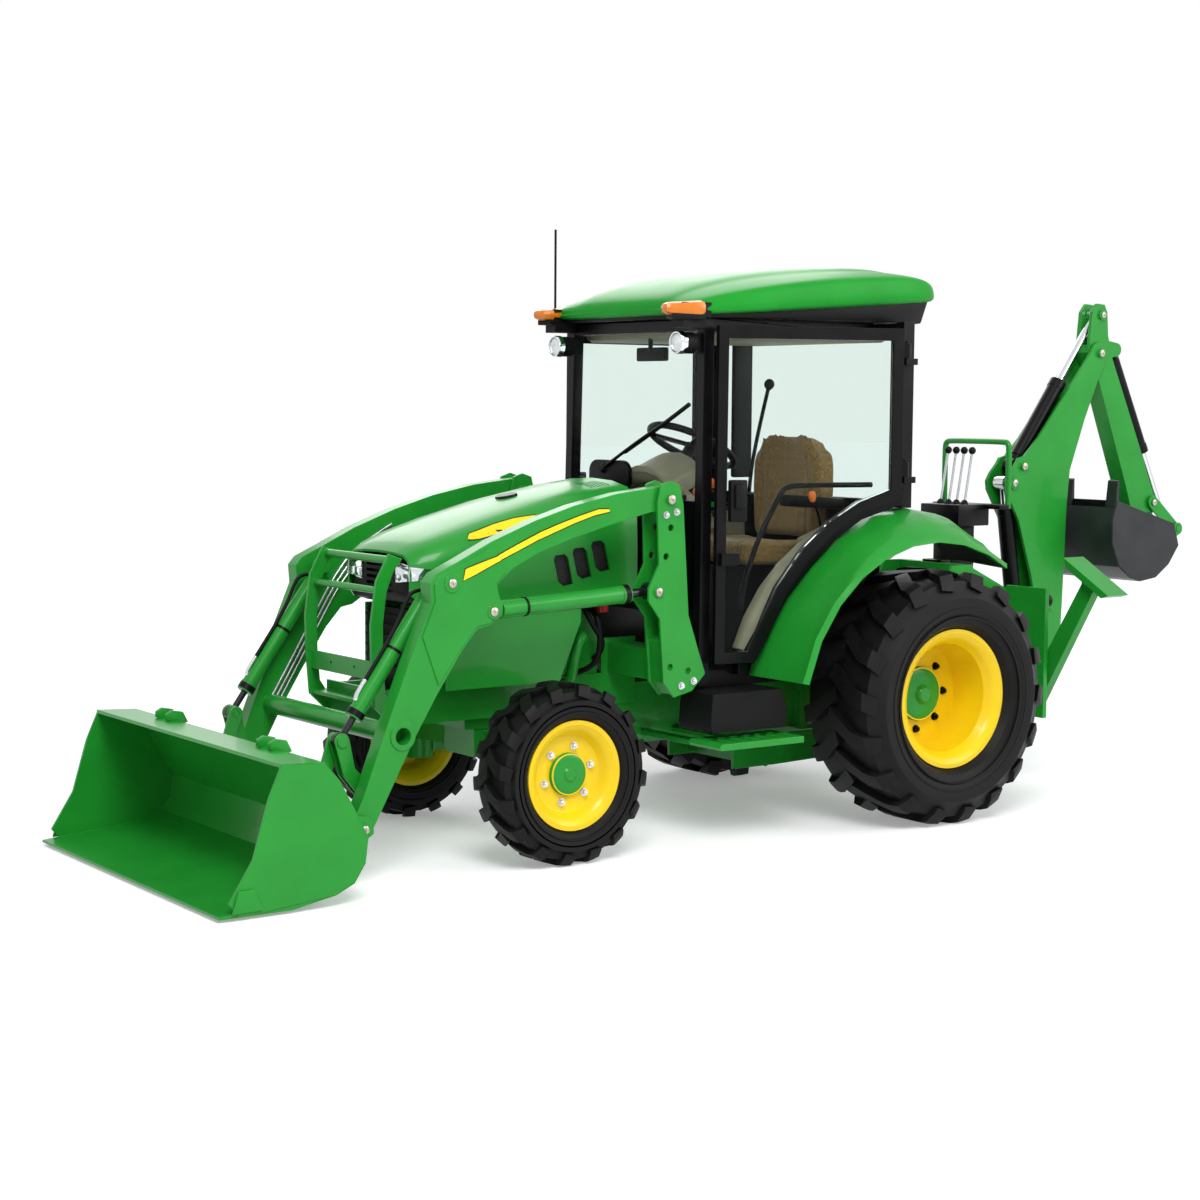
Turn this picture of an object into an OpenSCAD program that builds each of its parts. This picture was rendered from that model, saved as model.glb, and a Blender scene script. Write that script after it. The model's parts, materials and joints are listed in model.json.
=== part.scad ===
/* [Stance] */
// Distance between the axles
wheelbase = 1760; // [1600:2000]
// Distance between the rear tyre centres
rear_track = 1364; // [1200:1500]
// Distance between the front tyre centres
front_track = 1145; // [1000:1300]
// Rear axle, measured from the middle of the length
rear_axle_x = -483; // [-600:-300]

/* [Rear wheels] */
// Rear tyre diameter over the lugs
rear_tyre_d = 1040; // [900:1100]
// Rear tyre width
rear_tyre_w = 420; // [300:480]
// Rear rim flange diameter
rear_rim_d = 570; // [480:620]
// Rear lug height
rear_lug = 30; // [10:40]
// Lugs in each row of a rear tyre
rear_lugs = 18; // [14:24]

/* [Front wheels] */
// Front tyre diameter over the lugs
front_tyre_d = 680; // [600:760]
// Front tyre width
front_tyre_w = 220; // [160:280]
// Front rim flange diameter
front_rim_d = 414; // [360:460]
// Front lug height
front_lug = 22; // [8:30]
// Lugs in each row of a front tyre
front_lugs = 16; // [12:22]
// Sideways place of the kingpins
kingpin_y = 446; // [400:480]

/* [Loader] */
// Sideways middle of a loader arm
arm_y = 506; // [460:540]
// Thickness of a loader arm
arm_t = 68; // [50:90]
// Width of the loader bucket
bucket_w = 1545; // [1300:1700]
// Radius of the lift cylinder barrels
lift_r = 34; // [28:45]
// Radius of the tilt cylinder barrels
tilt_r = 30; // [24:40]
// Radius of the cylinder rods
rod_r = 17; // [12:25]
// Radius of the tilt rods
tilt_rod_r = 12.5; // [10:14]
// Sideways middle of the tilt cylinders
tilt_y = 427; // [410:440]

/* [Backhoe] */
// Place of the swing axis behind the rear axle
swing_x = -1100; // [-1200:-1000]
// Half the outer width of the boom
boom_hy = 66; // [50:90]
// Half the width of the dipper
dip_hy = 44; // [30:48]
// Half the width of the digging bucket
dig_hy = 305; // [200:330]
// Radius of the stabiliser rods
stab_rod_r = 9; // [7:10]
// Place of the stabilisers behind the rear axle
stab_x = -990; // [-1100:-900]

/* [Cab] */
// Height of the roof's black lower edge
roof_z = 2045; // [1950:2100]
// Height of the roof's top
roof_top = 2290; // [2200:2400]
// Height of the antenna tip
antenna_z = 2447; // [2300:2500]

/* [Hidden] */
$fn = 40;
gap = 0.3;
run = 0.6;
rear_r = rear_tyre_d / 2;
front_r = front_tyre_d / 2;
rear_wy = rear_track / 2;
// Outer face of the rear axle flange
hub_face = rear_wy - 122;
front_wy = front_track / 2;
// Outer face of the front wheel bearing
spindle_face = front_wy + 3.5;
axle_top = front_r + 111.7;
arm_in = arm_y - arm_t / 2;
arm_out = arm_y + arm_t / 2;
// Loader pins in the side view: mast pivot, bucket pivot, links and cylinder ends
pin_a = [1246, 1349];
pin_p = [2600, 210];
pin_ga = [2517, 307];
pin_gb = [2628, 512];
pin_c = [2690, 330];
pin_f = [2046, 956];
pin_g = [1300, 995];
pin_t = [2226, 1068];
tube_c = [2431, 527];
// Backhoe pins in the side view
pin_o = [-1420, 500];
pin_s = [-1245, 660];
pin_l = [-1139, 1352];
pin_u = [-1198, 1428];
pin_d = [-1699, 1956];
pin_dt = [-1729, 2137];
pin_q = [-1842, 1975];
pin_p1 = [-2045, 1150];
pin_p2 = [-2115, 1240];
pin_j = [-2280, 1108];
pin_p3 = [-2100, 1030];
// Stabiliser pins seen from behind: sideways and up
pin_sp = [340, 360];
pin_sb = [410, 840];
pin_se = [286, 500];
pin_sf = [668, 922];
door_tilt = atan2(150, 870);
door_hinge = [112, 652];
hood_hinge = [1212, 1352];

green = [0.18, 0.55, 0.22];
yellow = [0.98, 0.80, 0.05];
black = [0.08, 0.08, 0.09];
steel = [0.75, 0.76, 0.78];
glass = [0.75, 0.88, 0.84];

// Everything is drawn with the rear axle at x = 0 and moved here to the middle of the length
module place() {
    translate([rear_axle_x, 0, 0]) children();
}

module both() {
    children();
    mirror([0, 1, 0]) children();
}

// Round pin or eye lying across, at a point of the side view
module disc_y(p, y0, y1, r) {
    translate([p[0], y0, p[1]]) rotate([-90, 0, 0]) cylinder(h = y1 - y0, r = r);
}

// Flat plate cut to a side view outline
module side(points, y0, y1) {
    translate([0, y1, 0]) rotate([90, 0, 0]) linear_extrude(y1 - y0) polygon(points);
}

// Bar with round ends between two points of the side view
module bar(a, b, ra, rb, y0, y1) {
    d = b - a;
    n = [-d[1], d[0]] / norm(d);
    disc_y(a, y0, y1, ra);
    disc_y(b, y0, y1, rb);
    side([a + n * ra, a - n * ra, b - n * rb, b + n * rb], y0, y1);
}

// Turns what is drawn along x so that it runs from a to b in the side view
module along(a, b, y) {
    translate([a[0], y, a[1]]) rotate([0, -atan2(b[1] - a[1], b[0] - a[0]), 0]) children();
}

module rod_x(x0, x1, r) {
    translate([x0, 0, 0]) rotate([0, 90, 0]) cylinder(h = x1 - x0, r = r);
}

module box(a, b) {
    translate(a) cube(b - a);
}

// Straight post with level ends
module post(p, q, sx, sy) {
    h = [[-sx / 2, -sy / 2, 0], [sx / 2, -sy / 2, 0], [sx / 2, sy / 2, 0], [-sx / 2, sy / 2, 0]];
    polyhedron(concat([for (v = h) p + v], [for (v = h) q + v]),
        [[0, 1, 2, 3], [7, 6, 5, 4], [4, 5, 1, 0], [5, 6, 2, 1], [6, 7, 3, 2], [7, 4, 0, 3]]);
}

// Tube between two points
module tube(p, q, r) {
    d = q - p;
    translate(p) rotate([0, acos(d[2] / norm(d)), atan2(d[1], d[0])]) cylinder(h = norm(d), r = r);
}

// Skin through rings of points, closed at both ends
module loft(rings) {
    n = len(rings);
    m = len(rings[0]);
    polyhedron([for (r = rings, p = r) p],
        concat([[for (i = [0 : m - 1]) i]],
            [for (k = [0 : n - 2], i = [0 : m - 1]) [k * m + i, (k + 1) * m + i, k * m + (i + 1) % m]],
            [for (k = [0 : n - 2], i = [0 : m - 1])
                [k * m + (i + 1) % m, (k + 1) * m + i, (k + 1) * m + (i + 1) % m]],
            [[for (i = [0 : m - 1]) (n - 1) * m + m - 1 - i]]));
}

function two(a, b, c, d) = [[a, c, b], [a, d, c]];

// Thin skin between an outer and an inner row of open rings
module shell(outer, inner) {
    n = len(outer);
    m = len(outer[0]);
    h = n * m;
    polyhedron(concat([for (r = outer, p = r) p], [for (r = inner, p = r) p]),
        concat([for (k = [0 : n - 2], i = [0 : m - 2])
                each two(k * m + i, k * m + i + 1, (k + 1) * m + i + 1, (k + 1) * m + i)],
            [for (k = [0 : n - 2], i = [0 : m - 2])
                each two(h + k * m + i, h + (k + 1) * m + i, h + (k + 1) * m + i + 1, h + k * m + i + 1)],
            [for (k = [0 : n - 2]) each two(k * m, (k + 1) * m, h + (k + 1) * m, h + k * m)],
            [for (k = [0 : n - 2])
                each two(k * m + m - 1, h + k * m + m - 1, h + (k + 1) * m + m - 1, (k + 1) * m + m - 1)],
            [for (i = [0 : m - 2]) each two(i, h + i, h + i + 1, i + 1)],
            [for (i = [0 : m - 2])
                each two((n - 1) * m + i, (n - 1) * m + i + 1, h + (n - 1) * m + i + 1,
                    h + (n - 1) * m + i)]));
}

// Cylinder barrel drawn along x from its base eye
module barrel(len_b, r, eye_r, eye_t, pin_r, bore, rr = rod_r) {
    difference() {
        union() {
            rotate([90, 0, 0]) translate([0, 0, -eye_t / 2]) cylinder(h = eye_t, r = eye_r);
            rod_x(eye_r * 0.6, eye_r + 24, eye_t / 2);
            rod_x(eye_r + 14, len_b, r);
            rod_x(len_b - 40, len_b, r + 3);
        }
        rotate([90, 0, 0]) translate([0, 0, -eye_t]) cylinder(h = 2 * eye_t, r = pin_r + gap);
        rod_x(len_b - bore, len_b + 1, rr + gap);
    }
}

// Cylinder rod drawn along x, with its eye at len_r
module rod(x0, len_r, eye_r, eye_t, pin_r, rr = rod_r) {
    difference() {
        union() {
            rod_x(x0, len_r - eye_r * 0.6, rr);
            translate([len_r, 0, 0]) rotate([90, 0, 0]) translate([0, 0, -eye_t / 2])
                cylinder(h = eye_t, r = eye_r);
        }
        translate([len_r, 0, 0]) rotate([90, 0, 0]) translate([0, 0, -eye_t])
            cylinder(h = 2 * eye_t, r = pin_r);
    }
}

// Engine, gearbox, rear axle and frame rails, with the steps
module chassis() {
    color(green) difference() {
        union() {
            box([1290, -150, 500], [2030, 150, 1000]);
            box([1400, -130, 990], [1960, 130, 1090]);
            box([230, -150, 340], [1300, 150, 590]);
            box([-200, -185, 330], [240, 185, 600]);
            box([-200, -185, 590], [170, 185, 700]);
            both() disc_y([0, rear_r], 180, hub_face - 20, 85);
            both() disc_y([0, rear_r], hub_face - 30, hub_face, 105);
            both() box([1280, 150, 500], [2290, 166, 640]);
            box([2020, -166, 500], [2290, 166, 560]);
            box([wheelbase - 140, -120, axle_top + gap], [wheelbase + 140, 120, 510]);
            translate([1290, 0, 400]) rotate([0, 90, 0]) cylinder(h = wheelbase - 90 - 1290 - gap, r = 28);
            box([1180, -60, 370], [1300, 60, 440]);
            both() side([[704, 412], [1120, 412], [1130, 398], [1120, 386], [704, 386]], 540, 735);
            both() box([860, 145, 372], [910, 560, 392]);
            both() box([1020, 145, 372], [1070, 560, 392]);
        }
        both() disc_y([0, rear_r], hub_face - 70, hub_face + 10, 45 + gap);
        both() for (x = [740 : 62 : 1060]) box([x, 585, 370], [x + 38, 705, 430]);
    }
}

// Front axle beam with its kingpin housings
module front_axle() {
    color(green) difference() {
        union() {
            box([wheelbase - 48, -400, 352], [wheelbase + 48, 400, 442]);
            box([wheelbase - 90, -110, 340], [wheelbase + 90, 110, axle_top]);
            both() translate([wheelbase, kingpin_y, 352]) cylinder(h = 90, r = 58);
        }
        both() translate([wheelbase, kingpin_y, 340]) cylinder(h = 120, r = 28 + gap);
    }
}

// Steered end of the axle, with the bearing that carries the wheel
module knuckle() {
    color(green) difference() {
        union() {
            translate([wheelbase, kingpin_y, 300]) cylinder(h = 190, r = 28);
            translate([wheelbase, kingpin_y, 447]) cylinder(h = 42, r = 52);
            translate([wheelbase, kingpin_y, 262]) cylinder(h = 85, r = 60);
            disc_y([wheelbase, 330], kingpin_y + 62, spindle_face, 72);
            box([wheelbase - 50, kingpin_y, 266], [wheelbase + 50, kingpin_y + 80, 346]);
            box([wheelbase - 160, kingpin_y - 60, 290], [wheelbase - 30, kingpin_y - 10, 330]);
        }
        disc_y([wheelbase, front_r], spindle_face - 64, spindle_face + 10, 35 + gap);
    }
}

// Half of a tyre's section: bead, side wall, shoulder and tread, cut back by the lug height
function tyre_half(r, w, rim_r, lug, edge) = let (h = r - rim_r) [[rim_r + gap, 0], [rim_r + gap, 0.36 * w],
    [rim_r + 0.10 * h, 0.44 * w], [rim_r + 0.34 * h, 0.5 * w], [rim_r + 0.56 * h, 0.5 * w],
    [rim_r + 0.80 * h - edge, 0.46 * w - 0.3 * edge], [r - lug - 0.03 * h, 0.40 * w],
    [r - lug, 0.32 * w], [r - lug, 0]];

function whole(half) = concat(half, [for (i = [len(half) - 2 : -1 : 1]) [half[i][0], -half[i][1]]]);

// Tyre drawn about z: a plain carcass with two rows of slanting lugs, trimmed to the outer section
module tyre(r, w, rim_r, lug, count, bar_w) {
    root = 0.22 * (r - rim_r);
    a = bar_w / 2;
    lug_pts = [[-a, -0.03 * w], [a, -0.05 * w], [a + 0.22 * w, 0.24 * w], [a + 0.30 * w, 0.52 * w],
        [0.30 * w - 1.3 * a, 0.52 * w], [0.22 * w - 1.1 * a, 0.26 * w]];
    color(black) union() {
        rotate_extrude($fn = 72) polygon(whole(tyre_half(r, w, rim_r, lug, 24)));
        intersection() {
            rotate_extrude($fn = 72) polygon(whole(tyre_half(r, w, rim_r, 0, 0)));
            for (s = [1, -1], k = [0 : count - 1]) rotate([0, 0, (k + 0.25 * s) * 360 / count])
                scale([1, 1, s]) translate([r - lug - root, 0, 0]) rotate([90, 0, 90])
                    linear_extrude(lug + root + 10) polygon(lug_pts);
        }
    }
}

// Rim drawn about z, outside up, with its hub shaft
module rim(flange_r, w, disc_z, hub_r, shaft_r, shaft_z, cap_z) {
    b = 0.36 * w;
    t = 9;
    seat = flange_r - 22;
    color(yellow) union() {
        rotate_extrude($fn = 72) polygon([[seat - t, -b + 14], [flange_r - t, -b + 5], [flange_r, -b],
            [flange_r, -b - 8], [flange_r - t - 8, -b - 8], [seat - 2 * t, -b + 6], [seat - 40, -b + 40],
            [seat - 46, disc_z - 8], [hub_r * 0.4, disc_z - 8], [hub_r * 0.4, disc_z + 6],
            [seat - 46, disc_z + 6], [seat - 40, b - 40], [seat - 2 * t, b - 6], [flange_r - t - 8, b + 8],
            [flange_r, b + 8], [flange_r, b], [flange_r - t, b - 5], [seat - t, b - 14],
            [seat - 30, b - 44], [seat - 30, -b + 44]]);
        translate([0, 0, disc_z]) cylinder(h = cap_z, r = hub_r);
        translate([0, 0, shaft_z]) cylinder(h = disc_z - shaft_z + 4, r = shaft_r);
    }
}

module on_rear(s) {
    translate([0, s * rear_wy, rear_r]) rotate([-90 * s, 0, 0]) children();
}

module on_front(s) {
    translate([wheelbase, s * front_wy, front_r]) rotate([-90 * s, 0, 0]) children();
}

module rear_rim() {
    rim(rear_rim_d / 2, rear_tyre_w, -60, 110, 45, -160, 34);
}

module front_rim() {
    rim(front_rim_d / 2, front_tyre_w, 30, 78, 35, -40, 24);
}

module rear_tyre() {
    tyre(rear_r, rear_tyre_w, rear_rim_d / 2, rear_lug, rear_lugs, 62);
}

module front_tyre() {
    tyre(front_r, front_tyre_w, front_rim_d / 2, front_lug, front_lugs, 46);
}

// Guard in front of the radiator
module brush_guard() {
    post_pts = [[2262, 1140], [2320, 1160], [2375, 1060], [2398, 900], [2395, 760], [2380, 590], [2290, 505],
        [2280, 560], [2335, 640], [2345, 760], [2346, 900], [2330, 1020], [2300, 1095]];
    color(green) union() {
        both() side(post_pts, 244, 258);
        tube([2300, -250, 1135], [2300, 250, 1135], 15);
        tube([2352, -250, 1025], [2352, 250, 1025], 13);
        difference() {
            box([2362, -250, 690], [2374, 250, 760]);
            for (y = [-90, 90]) translate([2350, y, 725]) rotate([0, 90, 0]) cylinder(h = 40, r = 7);
        }
        box([2300, -250, 590], [2372, 250, 604]);
        box([2290.3, -250, 500], [2304, 250, 640]);
    }
}

// Radiator screen behind the guard
module grille() {
    color(black) union() {
        box([2100, -215, 640], [2140, 215, 930]);
        box([2060, -149.6, 560.4], [2140, 149.6, 660]);
        for (z = [690 : 40 : 890]) box([2130, -210, z], [2152, 210, z + 14]);
    }
}

// Lower side panels under the hood
module side_panels() {
    color(green) both() union() {
        side([[2100, 640], [2100, 930], [1480, 930], [1480, 870], [1580, 640]], 292, 304);
        box([1640, 150.3, 700], [1670, 296, 730]);
        box([1960, 150.3, 700], [1990, 296, 730]);
    }
}

function hood_ring(x, hw, zt, zb) = [for (p = [[1, 0], [1, 0.45], [0.985, 0.68], [0.93, 0.84], [0.78, 0.94],
    [0.45, 0.985], [0, 1], [-0.45, 0.985], [-0.78, 0.94], [-0.93, 0.84], [-0.985, 0.68], [-1, 0.45],
        [-1, 0]])
    [x, p[0] * hw, zb + p[1] * (zt - zb)]];
hood_rows = [[1215, 312, 1415, 940], [1400, 314, 1392, 940], [1650, 312, 1345, 940], [1900, 304, 1278, 940],
    [2080, 292, 1222, 945], [2170, 270, 1186, 960], [2215, 235, 1158, 1000]];

// Hood, hinged at its rear
module hood() {
    color(green) difference() {
        union() {
            shell([for (r = hood_rows) hood_ring(r[0], r[1], r[2], r[3])],
                [for (r = hood_rows) hood_ring(r[0], r[1] - 10, r[2] - 9, r[3])]);
            side([[1196, 1336], [1196, 1366], [1220, 1408], [1256, 1406], [1252, 1340]], -40, 40);
        }
        disc_y(hood_hinge, -50, 50, 10 + gap);
        both() for (i = [0 : 2]) side(hood_vent(1350 + 88 * i, 1068 - 24 * i), 250, 340);
        both() for (i = [0 : 5]) box([1262 + 16 * i, 70, 1360], [1270 + 16 * i, 190, 1430]);
    }
}

// Slanting air slot in the hood's side, at its lower front corner
function hood_vent(x, z) = [[x, z], [x + 46, z - 8], [x + 70, z + 10], [x + 92, z + 96], [x + 84, z + 112],
    [x + 40, z + 116], [x + 24, z + 102]];

// Lamps and dark panel under the front edge of the hood
module headlamps() {
    color(black) difference() {
        union() {
            loft([nose_ring(2120, 250, 1150, 946), nose_ring(2180, 238, 1136, 966),
                nose_ring(2206, 200, 1120, 1000), nose_ring(2212, 150, 1100, 1020)]);
            box([2130, -20, 1140], [2140, 20, 1187.8]);
        }
        for (z = [1000 : 24 : 1096]) box([2190, -95, z], [2230, 95, z + 12]);
    }
}

function nose_ring(x, hw, zt, zb) = [for (p = [[1, 0], [1, 0.45], [0.97, 0.7], [0.9, 0.86], [0.7, 0.96],
    [0, 1], [-0.7, 0.96], [-0.9, 0.86], [-0.97, 0.7], [-1, 0.45], [-1, 0]])
    [x, p[0] * hw, zb + p[1] * (zt - zb)]];

// Cab posts, floor, cowl and rear wall
module cab_frame() {
    color(black) union() {
        both() post([1006, 452, 600], [982, 438, roof_z + 4], 50, 44);
        both() post([75, 603, 1290.5], [75, 603, roof_z + 4], 60, 46);
        box([962, -460, 2000], [1004, 460, roof_z]);
        box([45, -626, 2000], [105, 626, roof_z]);
        both() side([[1000, 2000], [1000, roof_z + 5.7], [110, roof_z + 5.7], [80, 2000]], 425, 450);
        both() box([60, 425, 2000], [105, 620, roof_z]);
        box([180, -440, 600], [1030, 440, 632]);
        both() box([180, 430, 592], [1030, 460, 660]);
        box([985, -440, 620], [1010, 440, 1330]);
        box([1000, -310, 900], [1190, 310, 1300]);
        box([1100, -300, 1290], [1186, 300, 1345]);
        both() box([1180, 44, 1300], [1222, 62, 1385]);
        disc_y(hood_hinge, -62, 62, 10);
        box([40, -469.7, 1240], [80, 469.7, 1300]);
        box([40, -600, 1290.5], [80, 600, 1320]);
        box([180, -440, 620], [215, 440, 760]);
        side([[180, 740], [40, 1000], [40, 1290], [70, 1290], [70, 1010], [215, 750], [215, 740]],
            -440, 440);
        both() door_pins();
        both() on_door() side(jamb_pts, -42, -19);
        both() box([800, 455, 640], [850, 500, 700]);
        box([320, -180, 628], [560, 180, 1040]);
        box([985, -330, 1320], [1130, 330, 1352]);
    }
}

// Sealed edge between the door's lower side and the fender, in the door's own plane
jamb_pts = [[-12, 1372], [30, 1372], [210, 1322], [352, 1240], [470, 1136], [590, 984], [672, 812],
    [735, 712], [735, 684], [690, 684], [628, 782], [532, 944], [420, 1068], [312, 1168], [190, 1247],
    [20, 1299], [-12, 1301]];

module door_pins() {
    for (z = [1420, 1900]) {
        translate([door_hinge[0], door_hinge[1], z]) cylinder(h = 70, r = 8);
        box([60, 600, z - 26], [door_hinge[0] + 12, door_hinge[1] + 12, z]);
    }
}

// Front and rear windows
module cab_glass() {
    color(glass) union() {
        box([990, -415, 1352.3], [996, 415, 1999.7]);
        both() box([1010.3, 330.3, 700], [1016, 421, 1330]);
        box([66, -579.7, 1320.3], [72, 579.7, 1999.7]);
    }
}

// Roof cap
module roof() {
    color(green) union() {
        loft([roof_ring(-210, 430, 2150, 2190), roof_ring(-180, 500, 2110, 2235), roof_ring(-60, 548,
            2060, 2278),
            roof_ring(100, 556, roof_z + 6, roof_top), roof_ring(500, 556, roof_z + 6, 2278),
            roof_ring(850, 540, roof_z + 6, 2222), roof_ring(1020, 505, roof_z + 10, 2170),
            roof_ring(1085, 460, roof_z + 22, 2120)]);
    }
}

function roof_ring(x, hw, zb, zt) = [for (p = [[0.86, 0], [0.96, 0.08], [1, 0.3], [0.985, 0.55], [0.93,
    0.74],
    [0.8, 0.86], [0.6, 0.94], [0.5, 1], [0, 1.0], [-0.5, 1], [-0.6, 0.94], [-0.8, 0.86], [-0.93, 0.74],
    [-0.985, 0.55], [-1, 0.3], [-0.96, 0.08], [-0.86, 0]]) [x, p[0] * hw, zb + p[1] * (zt - zb)]];

fender_c = [100, 475];
function fender_pt(t, y, r) = [fender_c[0] + r * cos(t), y, fender_c[1] + r * sin(t)];
function fender_ring(t, rc, rl) = [for (p = [[470, rc - 4], [620, rc], [700, rc - 0.15 * (rc - rl) - 3],
    [770, rc - 0.5 * (rc - rl) - 6], [812, rl], [826, rl - 22], [816, rl - 24], [802, rl - 8],
    [764, rc - 0.5 * (rc - rl) - 16], [696, rc - 0.15 * (rc - rl) - 14], [618, rc - 11], [470, rc - 15]])
    fender_pt(t, p[0], p[1])];

// Rear fenders
module fenders() {
    color(green) both() loft([fender_ring(13, 694, 702), fender_ring(28, 696, 702), fender_ring(42,
        702, 702),
        fender_ring(55, 722, 703), fender_ring(67, 756, 704), fender_ring(80, 796, 706),
        fender_ring(92, 815, 708), fender_ring(104, 812, 712), fender_ring(116, 780, 716),
        fender_ring(126, 738, 720)]);
}

// Seat cushion and back
module seat() {
    color([0.42, 0.36, 0.30]) union() {
        loft([seat_ring(186, 225, 1045, 1130), seat_ring(260, 240, 1040.4, 1150), seat_ring(400, 245,
            1040.4, 1150),
            seat_ring(540, 235, 1040.4, 1160), seat_ring(585, 190, 1060, 1140)]);
        loft([back_ring(1120, 175, 112), back_ring(1180, 225, 114), back_ring(1400, 235, 114),
            back_ring(1540, 215, 112), back_ring(1590, 160, 108)]);
    }
}

function seat_ring(x, hw, zb, zt) = [for (p = [[0.9, 0], [1, 0.3], [1, 0.7], [0.85, 1], [0, 0.93],
    [-0.85, 1], [-1, 0.7], [-1, 0.3], [-0.9, 0]]) [x, p[0] * hw, zb + p[1] * (zt - zb)]];
function back_ring(z, hw, xf) = [for (p = [[-0.9, 0], [-1, 0.3], [-1, 0.7], [-0.85, 1], [0, 0.93],
    [0.85, 1], [1, 0.7], [1, 0.3], [0.9, 0]]) [xf + 90 + (p[1] - 1) * 120, p[0] * hw, z]];

// Side consoles beside the seat and the dash
module consoles() {
    color([0.45, 0.43, 0.33]) union() {
        both() side([[222, 632.3], [330, 632.3], [420, 1000], [380, 1160], [150, 1240], [90, 1239],
            [90, 1012],
            [222, 770]], 300, 429.7);
        side([[984.7, 640], [984.7, 1340], [900, 1380], [790, 1300], [840, 1100], [900, 640]], -210, 210);
    }
}

// Steering column and wheel
module steering() {
    color(black) union() {
        tube([844.8, 0, 1340.3], [698, 0, 1542.7], 24);
        translate([700, 0, 1540]) rotate([0, -28, 0]) rotate_extrude($fn = 36) translate([185,
            0]) circle(r = 15,
            $fn = 14);
        translate([700, 0, 1540]) rotate([0, -28, 0]) for (a = [60, 180, 300]) rotate([0, 0, a])
            translate([0, -14, -6]) cube([180, 28, 12]);
    }
}

// Fuel tank under the doors
module fuel_tank() {
    color(black) both() side([[716, 440], [1090, 440], [1100, 470], [1090, 591.7], [740, 591.7], [716,
        520]], 440, 640);
}

// Work lamps, flashers and antenna
module lamps() {
    color(black) union() {
        both() box([1009.5, 390, 1920], [1040, 440, 1990]);
        both() translate([1036, 415, 1952]) rotate([0, 90, 0]) cylinder(h = 74, r = 42);
        both() box([1008, 400, 2010], [1120, 470, 2050]);
        translate([1050, -500, 2040]) cylinder(h = antenna_z - 2040, r = 5);
        box([1030, -512, 2030], [1062, -460, 2056]);
    }
}

// Loader towers with their brackets on the frame
module loader_masts() {
    plate_pts = [[1180, 1330], [1200, 1405], [1246, 1420], [1290, 1405], [1306, 1340], [1296, 1100],
        [1345, 1010],
        [1345, 960], [1290, 890], [1270, 640], [1217, 581], [1130, 600], [1064, 665], [1100, 760],
            [1150, 900]];
    color(green) both() difference() {
        union() {
            side(plate_pts, arm_in - 18, arm_in - 6);
            side(plate_pts, arm_out + 6, arm_out + 18);
            side([[1174, 840], [1196, 1280], [1182, 1280], [1150, 840]], arm_in - 7, arm_out + 7);
            side([[1217, 590], [1262, 640], [1276, 800], [1140, 860], [1100, 760], [1075, 665], [1135, 605]],
                arm_in - 7, arm_out + 7);
            disc_y(pin_a, arm_in - 30, arm_out + 30, 20);
            disc_y(pin_g, arm_in - 26, arm_in - 17, 22);
            disc_y(pin_g, arm_out + 17, arm_out + 26, 22);
            box([1120, 150.3, 640], [1250, arm_in - 8, 760]);
            box([1110, 150.3, 510], [1279.6, 164, 780]);
        }
        for (p = [[1240, 1240], [1262, 1130], [1238, 700], [1150, 680]])
            for (y = [arm_in - 20, arm_out + 4]) disc_y(p, y, y + 16, 13);
    }
}

arm_pts = [[1200, 1335], [1212, 1385], [1246, 1402], [1300, 1396], [1480, 1376], [1680, 1336], [1860, 1284],
    [2050, 1214], [2200, 1144], [2290, 1104], [2318, 1072], [2312, 1000], [2400, 800], [2520, 510],
        [2590, 330],
    [2640, 230], [2644, 200], [2625, 172], [2596, 164], [2568, 178], [2480, 335], [2390, 500], [2290, 660],
    [2180, 820], [2112, 895], [2060, 905], [2004, 940], [2000, 985], [2024, 1010], [2030, 1050], [1960,
        1110],
    [1850, 1162], [1690, 1212], [1500, 1262], [1330, 1300], [1262, 1304], [1220, 1306]];

knee_pts = [[2024, 1020], [2034, 1060], [1990, 1100], [2050, 1196], [2190, 1134], [2276, 1094], [2300, 1066],
    [2296, 1004], [2350, 880], [2282, 700], [2190, 826], [2118, 905], [2064, 915], [2014, 944], [2010, 982]];

// Loader arms joined by the cross tube
module loader_arms() {
    color(green) difference() {
        union() {
            both() side(arm_pts, arm_in, arm_out);
            tube([tube_c[0], -arm_in - 6, tube_c[1]], [tube_c[0], arm_in + 6, tube_c[1]], 38);
            both() disc_y(pin_t, tilt_y - 22, arm_in + 2, 18);
            both() disc_y(pin_t, tilt_y - 34, tilt_y - 21, 26);
            both() disc_y(pin_ga, tilt_y - 34, arm_in + 2, 15);
            both() disc_y(pin_t, arm_out - 2, arm_out + 10, 34);
            both() disc_y(pin_f, arm_out - 2, arm_out + 10, 28);
            both() side(knee_pts, arm_out - 1, arm_out + 6);
            both() disc_y(tube_c, arm_out - 1, arm_out + 5, 52);
        }
        both() disc_y(tube_c, arm_in, arm_out + 10, 31);
        both() disc_y(pin_a, arm_in - 5, arm_out + 5, 20 + gap);
        both() disc_y(pin_p, arm_in - 5, arm_out + 5, 17 + gap);
        both() along(pin_f, pin_g, arm_y) translate([-62, -21, -62]) cube([240, 42, 124]);
    }
    color(green) both() disc_y(pin_f, arm_in + 5, arm_out - 5, 16);
}

module lift_barrels() {
    color(green) both() along(pin_f, pin_g, arm_y) barrel(640, lift_r, 38, 36, 16, 520);
}

module lift_rods() {
    color(steel) both() along(pin_f, pin_g, arm_y) rod(170, norm(pin_g - pin_f), 34, 40, 16);
}

module tilt_barrels() {
    color(green) both() along(pin_t, pin_gb, tilt_y) barrel(590, tilt_r, 34, 36, 18, 480, tilt_rod_r);
}

module tilt_rods() {
    color(steel) both() along(pin_t, pin_gb, tilt_y) rod(190, norm(pin_gb - pin_t), 30, 20, 14, tilt_rod_r);
}

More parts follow.
